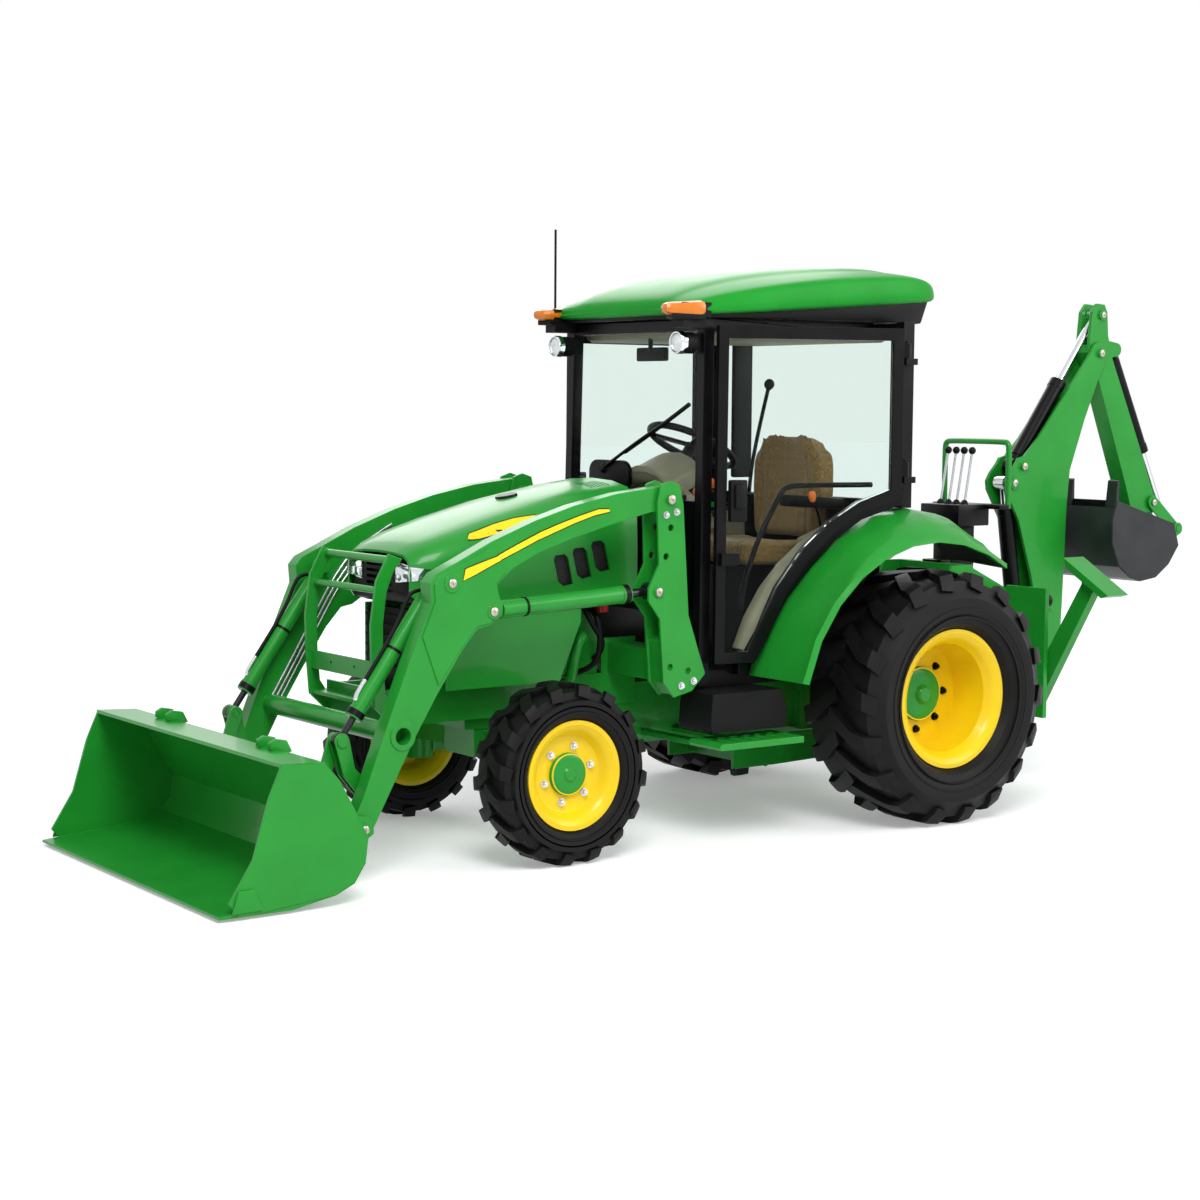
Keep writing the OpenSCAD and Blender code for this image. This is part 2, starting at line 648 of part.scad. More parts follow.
// Curved links from the arms to the tilt rods
module guide_links() {
    mid = [2600, 400];
    color(green) both() difference() {
        union() {
            for (y = [tilt_y - 24, tilt_y + 14]) {
                bar(pin_ga, mid, 30, 26, y, y + 10);
                bar(mid, pin_gb, 26, 30, y, y + 10);
            }
            disc_y(mid, tilt_y - 24, tilt_y + 24, 12);
            disc_y(pin_gb, tilt_y - 44, tilt_y - 14, 14);
            disc_y(pin_gb, tilt_y + 23, tilt_y + 30, 22);
        }
        disc_y(pin_ga, tilt_y - 30, tilt_y + 30, 15 + gap);
    }
}

// Short links from the curved links to the bucket
module coupler_links() {
    color(green) both() difference() {
        bar(pin_gb, pin_c, 28, 22, tilt_y - 43, tilt_y - 29);
        disc_y(pin_gb, tilt_y - 50, tilt_y - 20, 14 + gap);
        disc_y(pin_c, tilt_y - 50, tilt_y - 20, 14 + gap);
    }
}

// Loader bucket with its ears
module loader_bucket() {
    shell = [[3277, 12], [3277, 22], [2840, 58], [2772, 90], [2732, 148], [2720, 230], [2776, 326],
        [2832, 424], [2886, 490], [3044, 500], [3044, 514], [2878, 506], [2818, 440], [2760, 336],
        [2704, 230], [2716, 140], [2760, 74], [2832, 42], [3000, 12]];
    cheek = [[3200, 12], [2835, 46], [2764, 80], [2720, 144], [2710, 230], [2766, 332], [2824, 436],
        [2882, 500], [3040, 510], [3090, 400], [3150, 200], [3240, 60]];
    color(green) difference() {
        union() {
            side(shell, -bucket_w / 2 + 4, bucket_w / 2 - 4);
            both() side(cheek, bucket_w / 2 - 12, bucket_w / 2);
            both() for (y = [arm_in - 17, arm_out + 6])
                side([[2560, 190], [2600, 165], [2760, 76], [2722, 144], [2712, 230], [2746, 300],
                    [2640, 262], [2590, 256], [2562, 236]], y, y + 11);
            both() disc_y(pin_p, arm_in - 24, arm_out + 26, 17);
            both() side([[2668, 306], [2712, 240], [2762, 330], [2792, 384], [2700, 360], [2672, 346]],
                tilt_y - 62, tilt_y - 49);
        }
    }
}

// Backhoe carrier under the tractor
module backhoe_frame() {
    side_pts = [[640, 200], [640, 300], [560, 330], [-60, 330], [-120, 420], [-420, 420], [-560, 900],
        [-600, 1000],
        [-700, 1000], [-1000, 860], [-1000, 330], [-600, 230], [420, 200]];
    color(green) difference() {
        union() {
            both() side(side_pts, 208, 222);
            box([-1000, -222, 330], [-960, 222, 862]);
            box([-1000, -222, 326], [-620, 222, 344]);
            box([-730, -222, 900], [-690, 222, 1000]);
            box([500, -222, 210], [540, 222, 300]);
            box([swing_x - 60, -62, 735], [-990, 62, 765]);
            box([swing_x - 60, -62, 355], [-990, 62, 385]);
            translate([swing_x, 0, 355]) cylinder(h = 410, r = 30);
            both() box([stab_x + 24, 221, 320], [stab_x + 48, 460, 900]);
            both() tube_x(pin_sp, stab_x - 42, stab_x + 30, 22);
            both() tube_x(pin_sb, stab_x - 40, stab_x + 30, 14);
            both() box([-190, 185.3, 340], [-130, 209, 410]);
        }
        both() disc_y([-480, 640], 200, 230, 60);
    }
}

// Round bar along x at a point seen from behind
module tube_x(p, x0, x1, r) {
    translate([x0, p[0], p[1]]) rotate([0, 90, 0]) cylinder(h = x1 - x0, r = r);
}

// Backhoe seat stand, levers and rail
module backhoe_station() {
    color(black) union() {
        box([-959.7, -150, 862.3], [-730.3, 150, 1000.5]);
        box([-740, -60, 1000.3], [-690, 60, 1012]);
        box([-930, -130, 990], [-731, 130, 1290]);
        both() tube([-965, 200, 1250], [-965, 200, 1545], 13);
        tube([-965, -200, 1545], [-965, 200, 1545], 13);
        both() box([-978, 120, 1240], [-900, 212, 1262]);
        for (y = [-75, -25, 25, 75]) {
            tube([-820, y, 1280], [-860, y, 1500], 7);
            translate([-860, y, 1505]) sphere(r = 15);
        }
    }
}

// Post that swings and carries the boom
module swing_post() {
    pts = [[swing_x + 30, 405], [swing_x + 30, 715], [-1235, 715], [-1290, 690], [-1300, 600], [-1420, 556],
        [-1472, 520], [-1472, 470], [-1420, 440], [-1200, 405]];
    color(green) difference() {
        union() {
            both() side(pts, boom_hy + 6, boom_hy + 22);
            translate([swing_x, 0, 392]) cylinder(h = 336, r = 62);
            box([swing_x - 50, -boom_hy - 8, 410], [swing_x + 50, boom_hy + 8, 710]);
            disc_y(pin_o, -boom_hy - 30, boom_hy + 30, 22);
            disc_y(pin_s, -boom_hy - 30, boom_hy + 30, 18);
        }
        translate([swing_x, 0, 300]) cylinder(h = 600, r = 30 + gap);
    }
}

boom_pts = [[-1372, 470], [-1358, 510], [-1330, 700], [-1271, 922], [-1180, 1180], [-1094, 1318],
    [-1088, 1360],
    [-1110, 1396], [-1152, 1440], [-1170, 1466], [-1210, 1476], [-1300, 1560], [-1420, 1700], [-1560, 1860],
    [-1648, 1966], [-1664, 1996], [-1699, 2008], [-1738, 1994], [-1751, 1956], [-1742, 1926], [-1680, 1800],
    [-1610, 1650], [-1560, 1520], [-1516, 1407], [-1500, 1250], [-1491, 984], [-1484, 760], [-1472, 520],
    [-1450, 462], [-1420, 448], [-1390, 454]];

// Boom of two plates joined by a web
module backhoe_boom() {
    web = [[-1440, 620], [-1420, 900], [-1420, 1250], [-1440, 1420], [-1500, 1560], [-1560, 1690],
        [-1600, 1790],
        [-1640, 1800], [-1610, 1650], [-1560, 1520], [-1516, 1407], [-1500, 1250], [-1491, 984],
            [-1480, 640]];
    color(green) difference() {
        union() {
            both() side(boom_pts, boom_hy - 16, boom_hy);
            side(web, -boom_hy + 8, boom_hy - 8);
            disc_y(pin_d, -boom_hy - 14, boom_hy + 14, 20);
            disc_y(pin_u, -boom_hy - 14, boom_hy + 14, 18);
            both() disc_y(pin_l, boom_hy - 2, boom_hy + 12, 28);
            both() disc_y(pin_o, boom_hy - 14, boom_hy + 4, 48);
        }
        disc_y(pin_o, -boom_hy - 20, boom_hy + 20, 22 + gap);
    }
}

module boom_barrel() {
    color(black) along(pin_s, pin_l, 0) barrel(590, 38, 40, 60, 18, 480);
}

module boom_rod() {
    color(steel) along(pin_s, pin_l, 0) rod(130, norm(pin_l - pin_s), 34, 60, 18);
}

dip_pts = [[-1700, 2190], [-1668, 2150], [-1650, 1960], [-1700, 1880], [-1800, 1640], [-1930, 1330],
    [-2000, 1140],
    [-2020, 1112], [-2045, 1104], [-2080, 1118], [-2160, 1226], [-2158, 1262], [-2130, 1284], [-2030, 1500],
    [-1890, 1780], [-1815, 1930], [-1792, 2000], [-1780, 2040], [-1770, 2150], [-1750, 2186]];

// Dipper arm
module dipper() {
    color(green) difference() {
        union() {
            side(dip_pts, -dip_hy, dip_hy);
            disc_y(pin_p2, -dip_hy - 22, dip_hy + 22, 16);
            both() bar([-1770, 1975], pin_q, 44, 32, 24, dip_hy);
        }
        disc_y(pin_d, -100, 100, 20 + gap);
        disc_y(pin_p1, -100, 100, 18 + gap);
        side([[-1630, 2240], [-1630, 1996], [-1810, 1996], [-1810, 2240]], -24, 24);
    }
    color(green) both() disc_y(pin_dt, dip_hy - 1, dip_hy + 12, 24);
    color(green) disc_y(pin_q, -dip_hy + 5, dip_hy - 5, 14);
}

module dipper_barrel() {
    color(black) along(pin_u, pin_dt, 0) barrel(490, 36, 38, 60, 18, 380);
}

module dipper_rod() {
    color(steel) along(pin_u, pin_dt, 0) rod(425, norm(pin_dt - pin_u), 34, 40, 18);
}

module curl_barrel() {
    color(black) along(pin_q, pin_j, 0) barrel(550, 30, 30, 40, 14, 470);
}

module curl_rod() {
    color(steel) along(pin_q, pin_j, 0) rod(460, norm(pin_j - pin_q), 28, 40, 14);
}

// Links that turn the digging bucket
module curl_guide() {
    color(green) difference() {
        union() {
            both() bar(pin_p2, pin_j, 32, 30, dip_hy + 7, dip_hy + 18);
            both() disc_y(pin_j, dip_hy + 7, dip_hy + 40, 16);
        }
        disc_y(pin_p2, -100, 100, 16 + gap);
    }
}

module curl_coupler() {
    color(green) both() difference() {
        bar(pin_j, pin_p3, 30, 28, dip_hy + 24, dip_hy + 36);
        disc_y(pin_j, 0, 200, 16 + gap);
        disc_y(pin_p3, 0, 200, 16 + gap);
    }
}

// Digging bucket with teeth
module backhoe_bucket() {
    shell = [[-1578, 1271], [-1545, 1180], [-1545, 1070], [-1600, 960], [-1680, 905], [-1751, 886],
        [-1860, 900],
        [-1950, 960], [-1942, 974], [-1856, 915], [-1752, 901], [-1686, 919],
        [-1612, 970], [-1560, 1073], [-1560, 1178], [-1592, 1266]];
    cheek = [[-1580, 1268], [-1548, 1178], [-1548, 1072], [-1602, 963], [-1682, 908], [-1751, 889],
        [-1858, 903], [-1947, 963], [-2012, 1048], [-1977, 1154]];
    ear = [[-2012, 1048], [-1950, 962], [-1890, 922], [-1878, 928], [-1960, 1100], [-2005, 1180],
        [-2045, 1196], [-2085, 1172], [-2092, 1130], [-2130, 1050], [-2130, 1010],
        [-2100, 998], [-2050, 1010]];
    color(black) union() {
        side(shell, -dig_hy + 4, dig_hy - 4);
        both() side(cheek, dig_hy - 14, dig_hy);
        both() side(ear, dip_hy + 44, dip_hy + 58);
        disc_y(pin_p1, -dip_hy - 70, dip_hy + 70, 18);
        for (y = [-1, 0, 1]) side([[-1592, 1240], [-1566, 1240], [-1580, 1360], [-1590, 1366]],
            y * (dig_hy - 36) - 30, y * (dig_hy - 36) + 30);
    }
}

// Stabiliser leg with its foot
module stabiliser() {
    d = pin_sf - pin_sp;
    n = [-d[1], d[0]] / norm(d);
    u = d / norm(d);
    foot = pin_sf;
    color(green) difference() {
        union() {
            leg_bar(pin_sp, pin_sf, 46, 36, stab_x - 36, stab_x + 12);
            leg_bar(pin_sp, pin_se, 46, 26, stab_x - 36, stab_x - 24);
            leg_bar(pin_sp, pin_se, 46, 26, stab_x, stab_x + 12);
            plate_x([foot + u * 24 + n * 120, foot + u * 24 - n * 120, foot + u * 56 - n * 150,
                foot + u * 56 + n * 150],
                stab_x - 70, stab_x + 60);
            plate_x([foot - u * 20 + n * 30, foot - u * 20 - n * 30, foot + u * 30 - n * 60,
                foot + u * 30 + n * 60],
                stab_x - 36, stab_x + 12);
        }
        tube_x(pin_sp, stab_x - 100, stab_x + 100, 22 + gap);
        leg_slot();
    }
}

// Fork in the leg, wide enough for the rod's eye as it drifts
module leg_slot() {
    plate_x([pin_se + [-86, 100], pin_se + [-86, -108], pin_se + [14, -108], pin_se + [50, -96],
        pin_se + [66, -64], pin_se + [66, 100]], stab_x - 24, stab_x);
}

// Flat plate seen from behind
module plate_x(points, x0, x1) {
    translate([x0, 0, 0]) rotate([90, 0, 90]) linear_extrude(x1 - x0) polygon(points);
}

module leg_bar(a, b, ra, rb, x0, x1) {
    d = b - a;
    n = [-d[1], d[0]] / norm(d);
    tube_x(a, x0, x1, ra);
    tube_x(b, x0, x1, rb);
    plate_x([a + n * ra, a - n * ra, b - n * rb, b + n * rb], x0, x1);
}

module along_x(a, b, x) {
    translate([x, a[0], a[1]]) rotate([0, 0, 90]) rotate([0, -atan2(b[1] - a[1], b[0] - a[0]),
        0]) children();
}

module stab_barrel() {
    color(black) along_x(pin_sb, pin_se, stab_x - 12) barrel(250, 26, 30, 20, 14, 200, stab_rod_r);
}

module stab_rod() {
    color(steel) along_x(pin_sb, pin_se, stab_x - 12) rod(70, norm(pin_se - pin_sb), 24, 20, 12, stab_rod_r);
}

// Door drawn flat, from its hinge forward and up
door_out = [[20, 1330], [20, 2020], [876, 2020], [882, 690], [700, 690], [640, 790], [556, 960], [440, 1104],
    [330, 1204], [200, 1280]];
door_hole = [[70, 1370], [70, 1970], [832, 1970], [838, 735], [728, 735], [690, 810], [600, 984], [480,
    1138],
    [360, 1240], [220, 1320]];

module on_door() {
    translate([door_hinge[0], door_hinge[1], 0]) rotate([0, 0, -door_tilt]) children();
}

module door_frame() {
    color(black) on_door() difference() {
        union() {
            side(door_out, -13, 13);
            for (z = [1420, 1900]) translate([0, 0, z + 1]) cylinder(h = 60, r = 17);
            for (z = [1420, 1900]) box([0, -10, z + 1], [40, 10, z + 61]);
            tube([830, -40, 1010], [830, -40, 1400], 9);
            for (z = [1020, 1390]) tube([830, -40, z], [845, 0, z], 9);
            box([790, 10, 1080], [870, 40, 1130]);
        }
        side(door_hole, -20, 9);
        side(door_hole, 8, 20);
        for (z = [1420, 1900]) translate([0, 0, z - 5]) cylinder(h = 90, r = 8 + gap);
    }
}

module door_glass() {
    color(glass) on_door() side([[70.4, 1370.4], [70.4, 1969.6], [831.6, 1969.6], [837.6, 735.4],
        [728.4, 735.4],
        [690.4, 810.4], [600.4, 984.4], [480.4, 1138.4], [360.4, 1240.4], [220.4, 1320.4]], -3, 3);
}

place() chassis();
place() front_axle();
place() brush_guard();
place() grille();
place() side_panels();
place() cab_frame();
place() cab_glass();
place() roof();
place() fenders();
place() seat();
place() consoles();
place() steering();
place() fuel_tank();
place() lamps();
place() loader_masts();
place() backhoe_frame();
place() backhoe_station();
place() hood();
place() headlamps();
place() door_frame();  // door_left
place() door_glass();  // door_left_glass
place() mirror([0, 1, 0]) door_frame();  // door_right
place() mirror([0, 1, 0]) door_glass();  // door_right_glass
place() knuckle();  // knuckle_left
place() mirror([0, 1, 0]) knuckle();  // knuckle_right
place() on_rear(1) rear_tyre();  // tyre_rear_left
place() on_rear(1) rear_rim();  // rim_rear_left
place() on_rear(-1) rear_tyre();  // tyre_rear_right
place() on_rear(-1) rear_rim();  // rim_rear_right
place() on_front(1) front_tyre();  // tyre_front_left
place() on_front(1) front_rim();  // rim_front_left
place() on_front(-1) front_tyre();  // tyre_front_right
place() on_front(-1) front_rim();  // rim_front_right
place() loader_arms();
place() lift_barrels();
place() lift_rods();
place() tilt_barrels();
place() tilt_rods();
place() guide_links();
place() coupler_links();
place() loader_bucket();
place() swing_post();
place() backhoe_boom();
place() boom_barrel();
place() boom_rod();
place() dipper();
place() dipper_barrel();
place() dipper_rod();
place() curl_barrel();
place() curl_rod();
place() curl_guide();
place() curl_coupler();
place() backhoe_bucket();
place() stabiliser();  // stabiliser_left
place() stab_barrel();  // stab_barrel_left
place() stab_rod();  // stab_rod_left
place() mirror([0, 1, 0]) stabiliser();  // stabiliser_right
place() mirror([0, 1, 0]) stab_barrel();  // stab_barrel_right
place() mirror([0, 1, 0]) stab_rod();  // stab_rod_right
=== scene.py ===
import json
import math

import bmesh
import bpy
from mathutils import Matrix, Vector
from mathutils.bvhtree import BVHTree


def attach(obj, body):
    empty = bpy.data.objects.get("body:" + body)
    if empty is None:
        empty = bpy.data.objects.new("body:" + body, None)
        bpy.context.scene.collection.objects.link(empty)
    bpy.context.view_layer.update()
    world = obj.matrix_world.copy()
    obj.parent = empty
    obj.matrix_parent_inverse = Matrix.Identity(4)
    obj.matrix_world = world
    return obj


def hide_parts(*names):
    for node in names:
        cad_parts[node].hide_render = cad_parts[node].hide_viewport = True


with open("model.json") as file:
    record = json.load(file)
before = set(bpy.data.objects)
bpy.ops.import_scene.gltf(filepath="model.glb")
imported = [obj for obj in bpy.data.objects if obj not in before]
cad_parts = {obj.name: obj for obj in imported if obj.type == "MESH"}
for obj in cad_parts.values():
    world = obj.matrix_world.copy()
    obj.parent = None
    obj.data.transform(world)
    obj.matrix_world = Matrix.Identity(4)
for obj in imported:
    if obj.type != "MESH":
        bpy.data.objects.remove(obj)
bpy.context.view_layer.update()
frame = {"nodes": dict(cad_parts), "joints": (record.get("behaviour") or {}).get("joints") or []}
nodes = frame["nodes"]

# Studio
# A plain pale floor that runs into the distance, soft light from three large panels, and the camera at
# the place from which the machine was seen. Places are given from the rear axle, as in the solids.
axle_x = next(j["pos_m"][0] for j in frame["joints"] if j["name"] == "wheel_rear_left")


def at(x, y, z):
    """A point given from the rear axle and the ground, in the shared frame."""
    return Vector((x + axle_x, y, z))


def plain_finish(name, colour, roughness, metallic=0.0, **more):
    """A material and its one shader; more names other inputs of the shader, with _ for a space."""
    material = bpy.data.materials.new(name)
    material.use_nodes = True
    shader = material.node_tree.nodes["Principled BSDF"]
    shader.inputs["Base Color"].default_value = (*colour, 1.0)
    shader.inputs["Roughness"].default_value = roughness
    shader.inputs["Metallic"].default_value = metallic
    for key, value in more.items():
        shader.inputs[key.replace("_", " ")].default_value = value
    return material, shader


def seen_directly(tree):
    """One where a camera, mirror or glass ray looks, nought for light that falls on the machine."""
    path = tree.nodes.new("ShaderNodeLightPath")
    total = path.outputs["Is Camera Ray"]
    for kind in ("Is Glossy Ray", "Is Transmission Ray"):
        either = tree.nodes.new("ShaderNodeMath")
        either.operation = "MAXIMUM"
        tree.links.new(total, either.inputs[0])
        tree.links.new(path.outputs[kind], either.inputs[1])
        total = either.outputs[0]
    return total


def placed(name, data):
    """An object that holds some data, put in the scene."""
    thing = bpy.data.objects.new(name, data)
    bpy.context.scene.collection.objects.link(thing)
    return thing


floor_bm = bmesh.new()
bmesh.ops.create_grid(floor_bm, x_segments=1, y_segments=1, size=60.0)
floor_mesh = bpy.data.meshes.new("studio_floor")
floor_bm.to_mesh(floor_mesh)
floor_bm.free()
studio_floor = placed("studio_floor", floor_mesh)
floor_finish, floor_shader = plain_finish(
    "studio_floor_finish", (0.86, 0.86, 0.86), 0.9, Specular_IOR_Level=0.1, Emission_Color=(1.0, 1.0, 1.0, 1.0))
floor_tree = floor_finish.node_tree
floor_glow = floor_tree.nodes.new("ShaderNodeMath")
floor_glow.operation = "MULTIPLY"
floor_place = floor_tree.nodes.new("ShaderNodeTexCoord")
floor_reach = floor_tree.nodes.new("ShaderNodeVectorMath")
floor_reach.operation = "LENGTH"
floor_fade = floor_tree.nodes.new("ShaderNodeMapRange")
for fade_end, fade_value in (("From Min", 3.0), ("From Max", 9.0), ("To Min", 0.30), ("To Max", 0.58)):
    floor_fade.inputs[fade_end].default_value = fade_value
floor_tree.links.new(floor_place.outputs["Object"], floor_reach.inputs[0])
floor_tree.links.new(floor_reach.outputs["Value"], floor_fade.inputs["Value"])
floor_tree.links.new(floor_fade.outputs["Result"], floor_glow.inputs[1])
floor_tree.links.new(seen_directly(floor_tree), floor_glow.inputs[0])
floor_tree.links.new(floor_glow.outputs[0], floor_shader.inputs["Emission Strength"])
floor_mesh.materials.append(floor_finish)

world = bpy.data.worlds.new("studio_world")
bpy.context.scene.world = world
world.use_nodes = True
sky_tree = world.node_tree
sky = sky_tree.nodes["Background"]
sky.inputs["Color"].default_value = (0.95, 0.97, 1.0, 1.0)
sky.inputs["Strength"].default_value = 0.5
white_wall = sky_tree.nodes.new("ShaderNodeBackground")
white_wall.inputs["Color"].default_value = (1.0, 1.0, 1.0, 1.0)
sky_mix = sky_tree.nodes.new("ShaderNodeMixShader")
sky_tree.links.new(seen_directly(sky_tree), sky_mix.inputs[0])
sky_tree.links.new(sky.outputs[0], sky_mix.inputs[1])
sky_tree.links.new(white_wall.outputs[0], sky_mix.inputs[2])
sky_tree.links.new(sky_mix.outputs[0], sky_tree.nodes["World Output"].inputs["Surface"])


def light_panel(name, place, target, size, watts):
    """A large soft panel that points at a target."""
    lamp = bpy.data.lights.new(name, "AREA")
    lamp.shape = "SQUARE"
    lamp.size = size
    lamp.energy = watts
    panel = placed(name, lamp)
    panel.location = place
    panel.rotation_euler = (target - place).to_track_quat("-Z", "Y").to_euler()


middle = at(0.6, 0.0, 1.0)
light_panel("light_key", at(4.5, 6.0, 7.5), middle, 4.0, 620.0)
light_panel("light_side", at(-5.5, 6.5, 5.0), middle, 5.0, 300.0)
light_panel("light_back", at(-3.0, -7.0, 6.0), middle, 6.0, 260.0)

camera_data = bpy.data.cameras.new("photo_camera")
camera_data.sensor_width = 36.0
camera_data.lens = 65.99
camera_data.shift_x = 0.0804
camera_data.shift_y = -0.0019
camera_data.clip_end = 200.0
photo_camera = placed("photo_camera", camera_data)
camera_pitch, camera_yaw, camera_roll = (math.radians(turn) for turn in (5.156, 146.412, 0.177))
photo_camera.matrix_world = (
    Matrix.Translation(at(6.4445, 7.2324, 1.7302)) @ Matrix.Rotation(camera_yaw, 4, "Z")
    @ Matrix.Rotation(math.pi / 2 - camera_pitch, 4, "X") @ Matrix.Rotation(camera_roll, 4, "Z")
)
bpy.context.scene.camera = photo_camera
bpy.context.scene.view_settings.view_transform = "Standard"

# Painted steel
# Plate, castings and pressings in gloss green enamel, sprayed after welding: a slight orange peel,
# a little unevenness of tone and a clear hard gloss. Plate edges are rounded off by the grinder.


def texture(tree, kind, **settings):
    """A texture on the piece's own coordinates, with its settings."""
    place = tree.nodes.new("ShaderNodeTexCoord")
    pattern = tree.nodes.new("ShaderNodeTex" + kind)
    for key, value in settings.items():
        pattern.inputs[key].default_value = value
    tree.links.new(place.outputs["Object"], pattern.inputs["Vector"])
    return pattern


def tone(tree, shader, pattern, stops):
    """Colours a shader by a texture's value, from one (level, colour) stop to the other."""
    ramp = tree.nodes.new("ShaderNodeValToRGB")
    for i, (level, colour) in enumerate(stops):
        ramp.color_ramp.elements[i].position = level
        ramp.color_ramp.elements[i].color = (*colour, 1.0)
    tree.links.new(pattern.outputs["Fac"], ramp.inputs["Fac"])
    tree.links.new(ramp.outputs["Color"], shader.inputs["Base Color"])


def relief(tree, shader, height, strength, distance):
    """Bump on a shader from a texture's output."""
    bump = tree.nodes.new("ShaderNodeBump")
    bump.inputs["Strength"].default_value = strength
    bump.inputs["Distance"].default_value = distance
    tree.links.new(height, bump.inputs["Height"])
    tree.links.new(bump.outputs["Normal"], shader.inputs["Normal"])


def mottled(name, colour, spread, scale, bump, rough, metallic=0.0, **more):
    """A finish of uneven tone, with a range of roughness and a fine bump."""
    material, shader = plain_finish(name, colour, rough[0], metallic, **more)
    tree = material.node_tree
    cloud = texture(tree, "Noise", Scale=scale, Detail=6.0)
    dark, light = ([min(1.0, c * share) for c in colour] for share in (1.0 - spread, 1.0 + spread))
    tone(tree, shader, cloud, ((0.32, dark), (0.68, light)))
    gloss = tree.nodes.new("ShaderNodeMapRange")
    gloss.inputs["To Min"].default_value, gloss.inputs["To Max"].default_value = rough
    tree.links.new(cloud.outputs["Fac"], gloss.inputs["Value"])
    tree.links.new(gloss.outputs["Result"], shader.inputs["Roughness"])
    grain = texture(tree, "Noise", Scale=scale * 40.0, Detail=3.0)
    relief(tree, shader, grain.outputs["Fac"], bump, 0.001)
    return material


def enamel(name, colour, spread=0.07, coat=0.18, specular=0.22):
    """Gloss paint under a clear coat."""
    return mottled(name, colour, spread, 5.0, 0.04, (0.26, 0.38), Specular_IOR_Level=specular, Coat_Weight=coat,
                   Coat_Roughness=0.08)


def round_shading(limit):
    """Node tree that welds a solid's loose triangles and shades it round up to an edge angle."""
    tree = bpy.data.node_groups.new("round_shading_%d" % limit, "GeometryNodeTree")
    tree.interface.new_socket("Geometry", in_out="INPUT", socket_type="NodeSocketGeometry")
    tree.interface.new_socket("Geometry", in_out="OUTPUT", socket_type="NodeSocketGeometry")
    start = tree.nodes.new("NodeGroupInput")
    end = tree.nodes.new("NodeGroupOutput")
    bare = tree.nodes.new("GeometryNodeRemoveAttribute")
    bare.inputs["Name"].default_value = "custom_normal"
    weld = tree.nodes.new("GeometryNodeMergeByDistance")
    weld.inputs["Distance"].default_value = 0.00005
    smooth = tree.nodes.new("GeometryNodeSetShadeSmooth")
    crease = tree.nodes.new("GeometryNodeSetShadeSmooth")
    crease.domain = "EDGE"
    crease.inputs["Shade Smooth"].default_value = False
    angle = tree.nodes.new("GeometryNodeInputMeshEdgeAngle")
    sharper = tree.nodes.new("FunctionNodeCompare")
    sharper.data_type = "FLOAT"
    sharper.operation = "GREATER_THAN"
    sharper.inputs["B"].default_value = math.radians(limit)
    tree.links.new(angle.outputs["Unsigned Angle"], sharper.inputs["A"])
    tree.links.new(sharper.outputs["Result"], crease.inputs["Selection"])
    for first, second in ((start, bare), (bare, weld), (weld, smooth), (smooth, crease), (crease, end)):
        tree.links.new(first.outputs["Geometry"], second.inputs["Geometry"])
    return tree


shade_plates, shade_pressings = round_shading(28), round_shading(46)


def coat_nodes(material, names, shading=shade_plates, edge=0.0):
    """Gives CAD nodes a finish, round shading and, for plate, an edge rounded to a width."""
    for name in names:
        node = nodes[name]
        node.data.materials.clear()
        node.data.materials.append(material)
        node.modifiers.new("round_shading", "NODES").node_group = shading
        if edge:
            flat = node.modifiers.new("flat_faces", "DECIMATE")
            flat.decimate_type = "DISSOLVE"
            flat.angle_limit = math.radians(0.3)
            rounded = node.modifiers.new("rounded_edges", "BEVEL")
            rounded.width = edge
            rounded.segments = 2
            rounded.profile = 0.5
            rounded.limit_method = "ANGLE"
            rounded.angle_limit = math.radians(35.0)
            rounded.use_clamp_overlap = False
            rounded.harden_normals = True


leaf_green = (0.014, 0.275, 0.026)
green_enamel = enamel("green_enamel", leaf_green)
plate_edge = 0.002
coat_nodes(green_enamel, [
    "front_axle", "side_panels", "loader_masts", "backhoe_frame", "knuckle_left", "knuckle_right",
    "loader_arms", "lift_barrels", "tilt_barrels", "guide_links", "coupler_links", "loader_bucket",
    "swing_post", "backhoe_boom", "dipper", "curl_guide", "curl_coupler", "stabiliser_left",
    "stabiliser_right", "chassis", "brush_guard"], edge=plate_edge)
coat_nodes(green_enamel, ["fenders", "hood"], shade_pressings)

# Black parts
# Cab tubes, cylinder barrels and the digging bucket in satin black paint; grille, dash, tank and lamp
# housings moulded in black plastic with a fine grain.
satin_black = mottled("satin_black", (0.003, 0.003, 0.0035), 0.25, 9.0, 0.08, (0.24, 0.38), Specular_IOR_Level=0.15)
coat_nodes(satin_black, [
    "cab_frame", "door_left", "door_right", "boom_barrel", "dipper_barrel", "curl_barrel",
    "stab_barrel_left", "stab_barrel_right"], edge=plate_edge)
bucket_grey = mottled("bucket_grey", (0.018, 0.020, 0.022), 0.3, 7.0, 0.15, (0.34, 0.5), Specular_IOR_Level=0.3)
coat_nodes(bucket_grey, ["backhoe_bucket"], edge=plate_edge)
grained_black = mottled("grained_black", (0.004, 0.004, 0.0045), 0.2, 14.0, 0.35, (0.42, 0.56),
                        Specular_IOR_Level=0.15)
coat_nodes(grained_black, ["grille", "steering", "fuel_tank", "lamps", "headlamps"])

# Cylinder rods
# Ground steel bars, each with an eye at its end: hard chromed on the backhoe, and blackened in a salt
# bath on the loader. They slide in the barrels through screwed glands.
rod_chrome = mottled("rod_chrome", (0.66, 0.67, 0.69), 0.05, 18.0, 0.02, (0.1, 0.2), 1.0)
coat_nodes(rod_chrome, ["boom_rod", "dipper_rod", "curl_rod", "stab_rod_left", "stab_rod_right"])
rod_black = mottled("rod_black", (0.035, 0.035, 0.038), 0.1, 18.0, 0.03, (0.12, 0.24), 0.8)
coat_nodes(rod_black, ["lift_rods", "tilt_rods"])

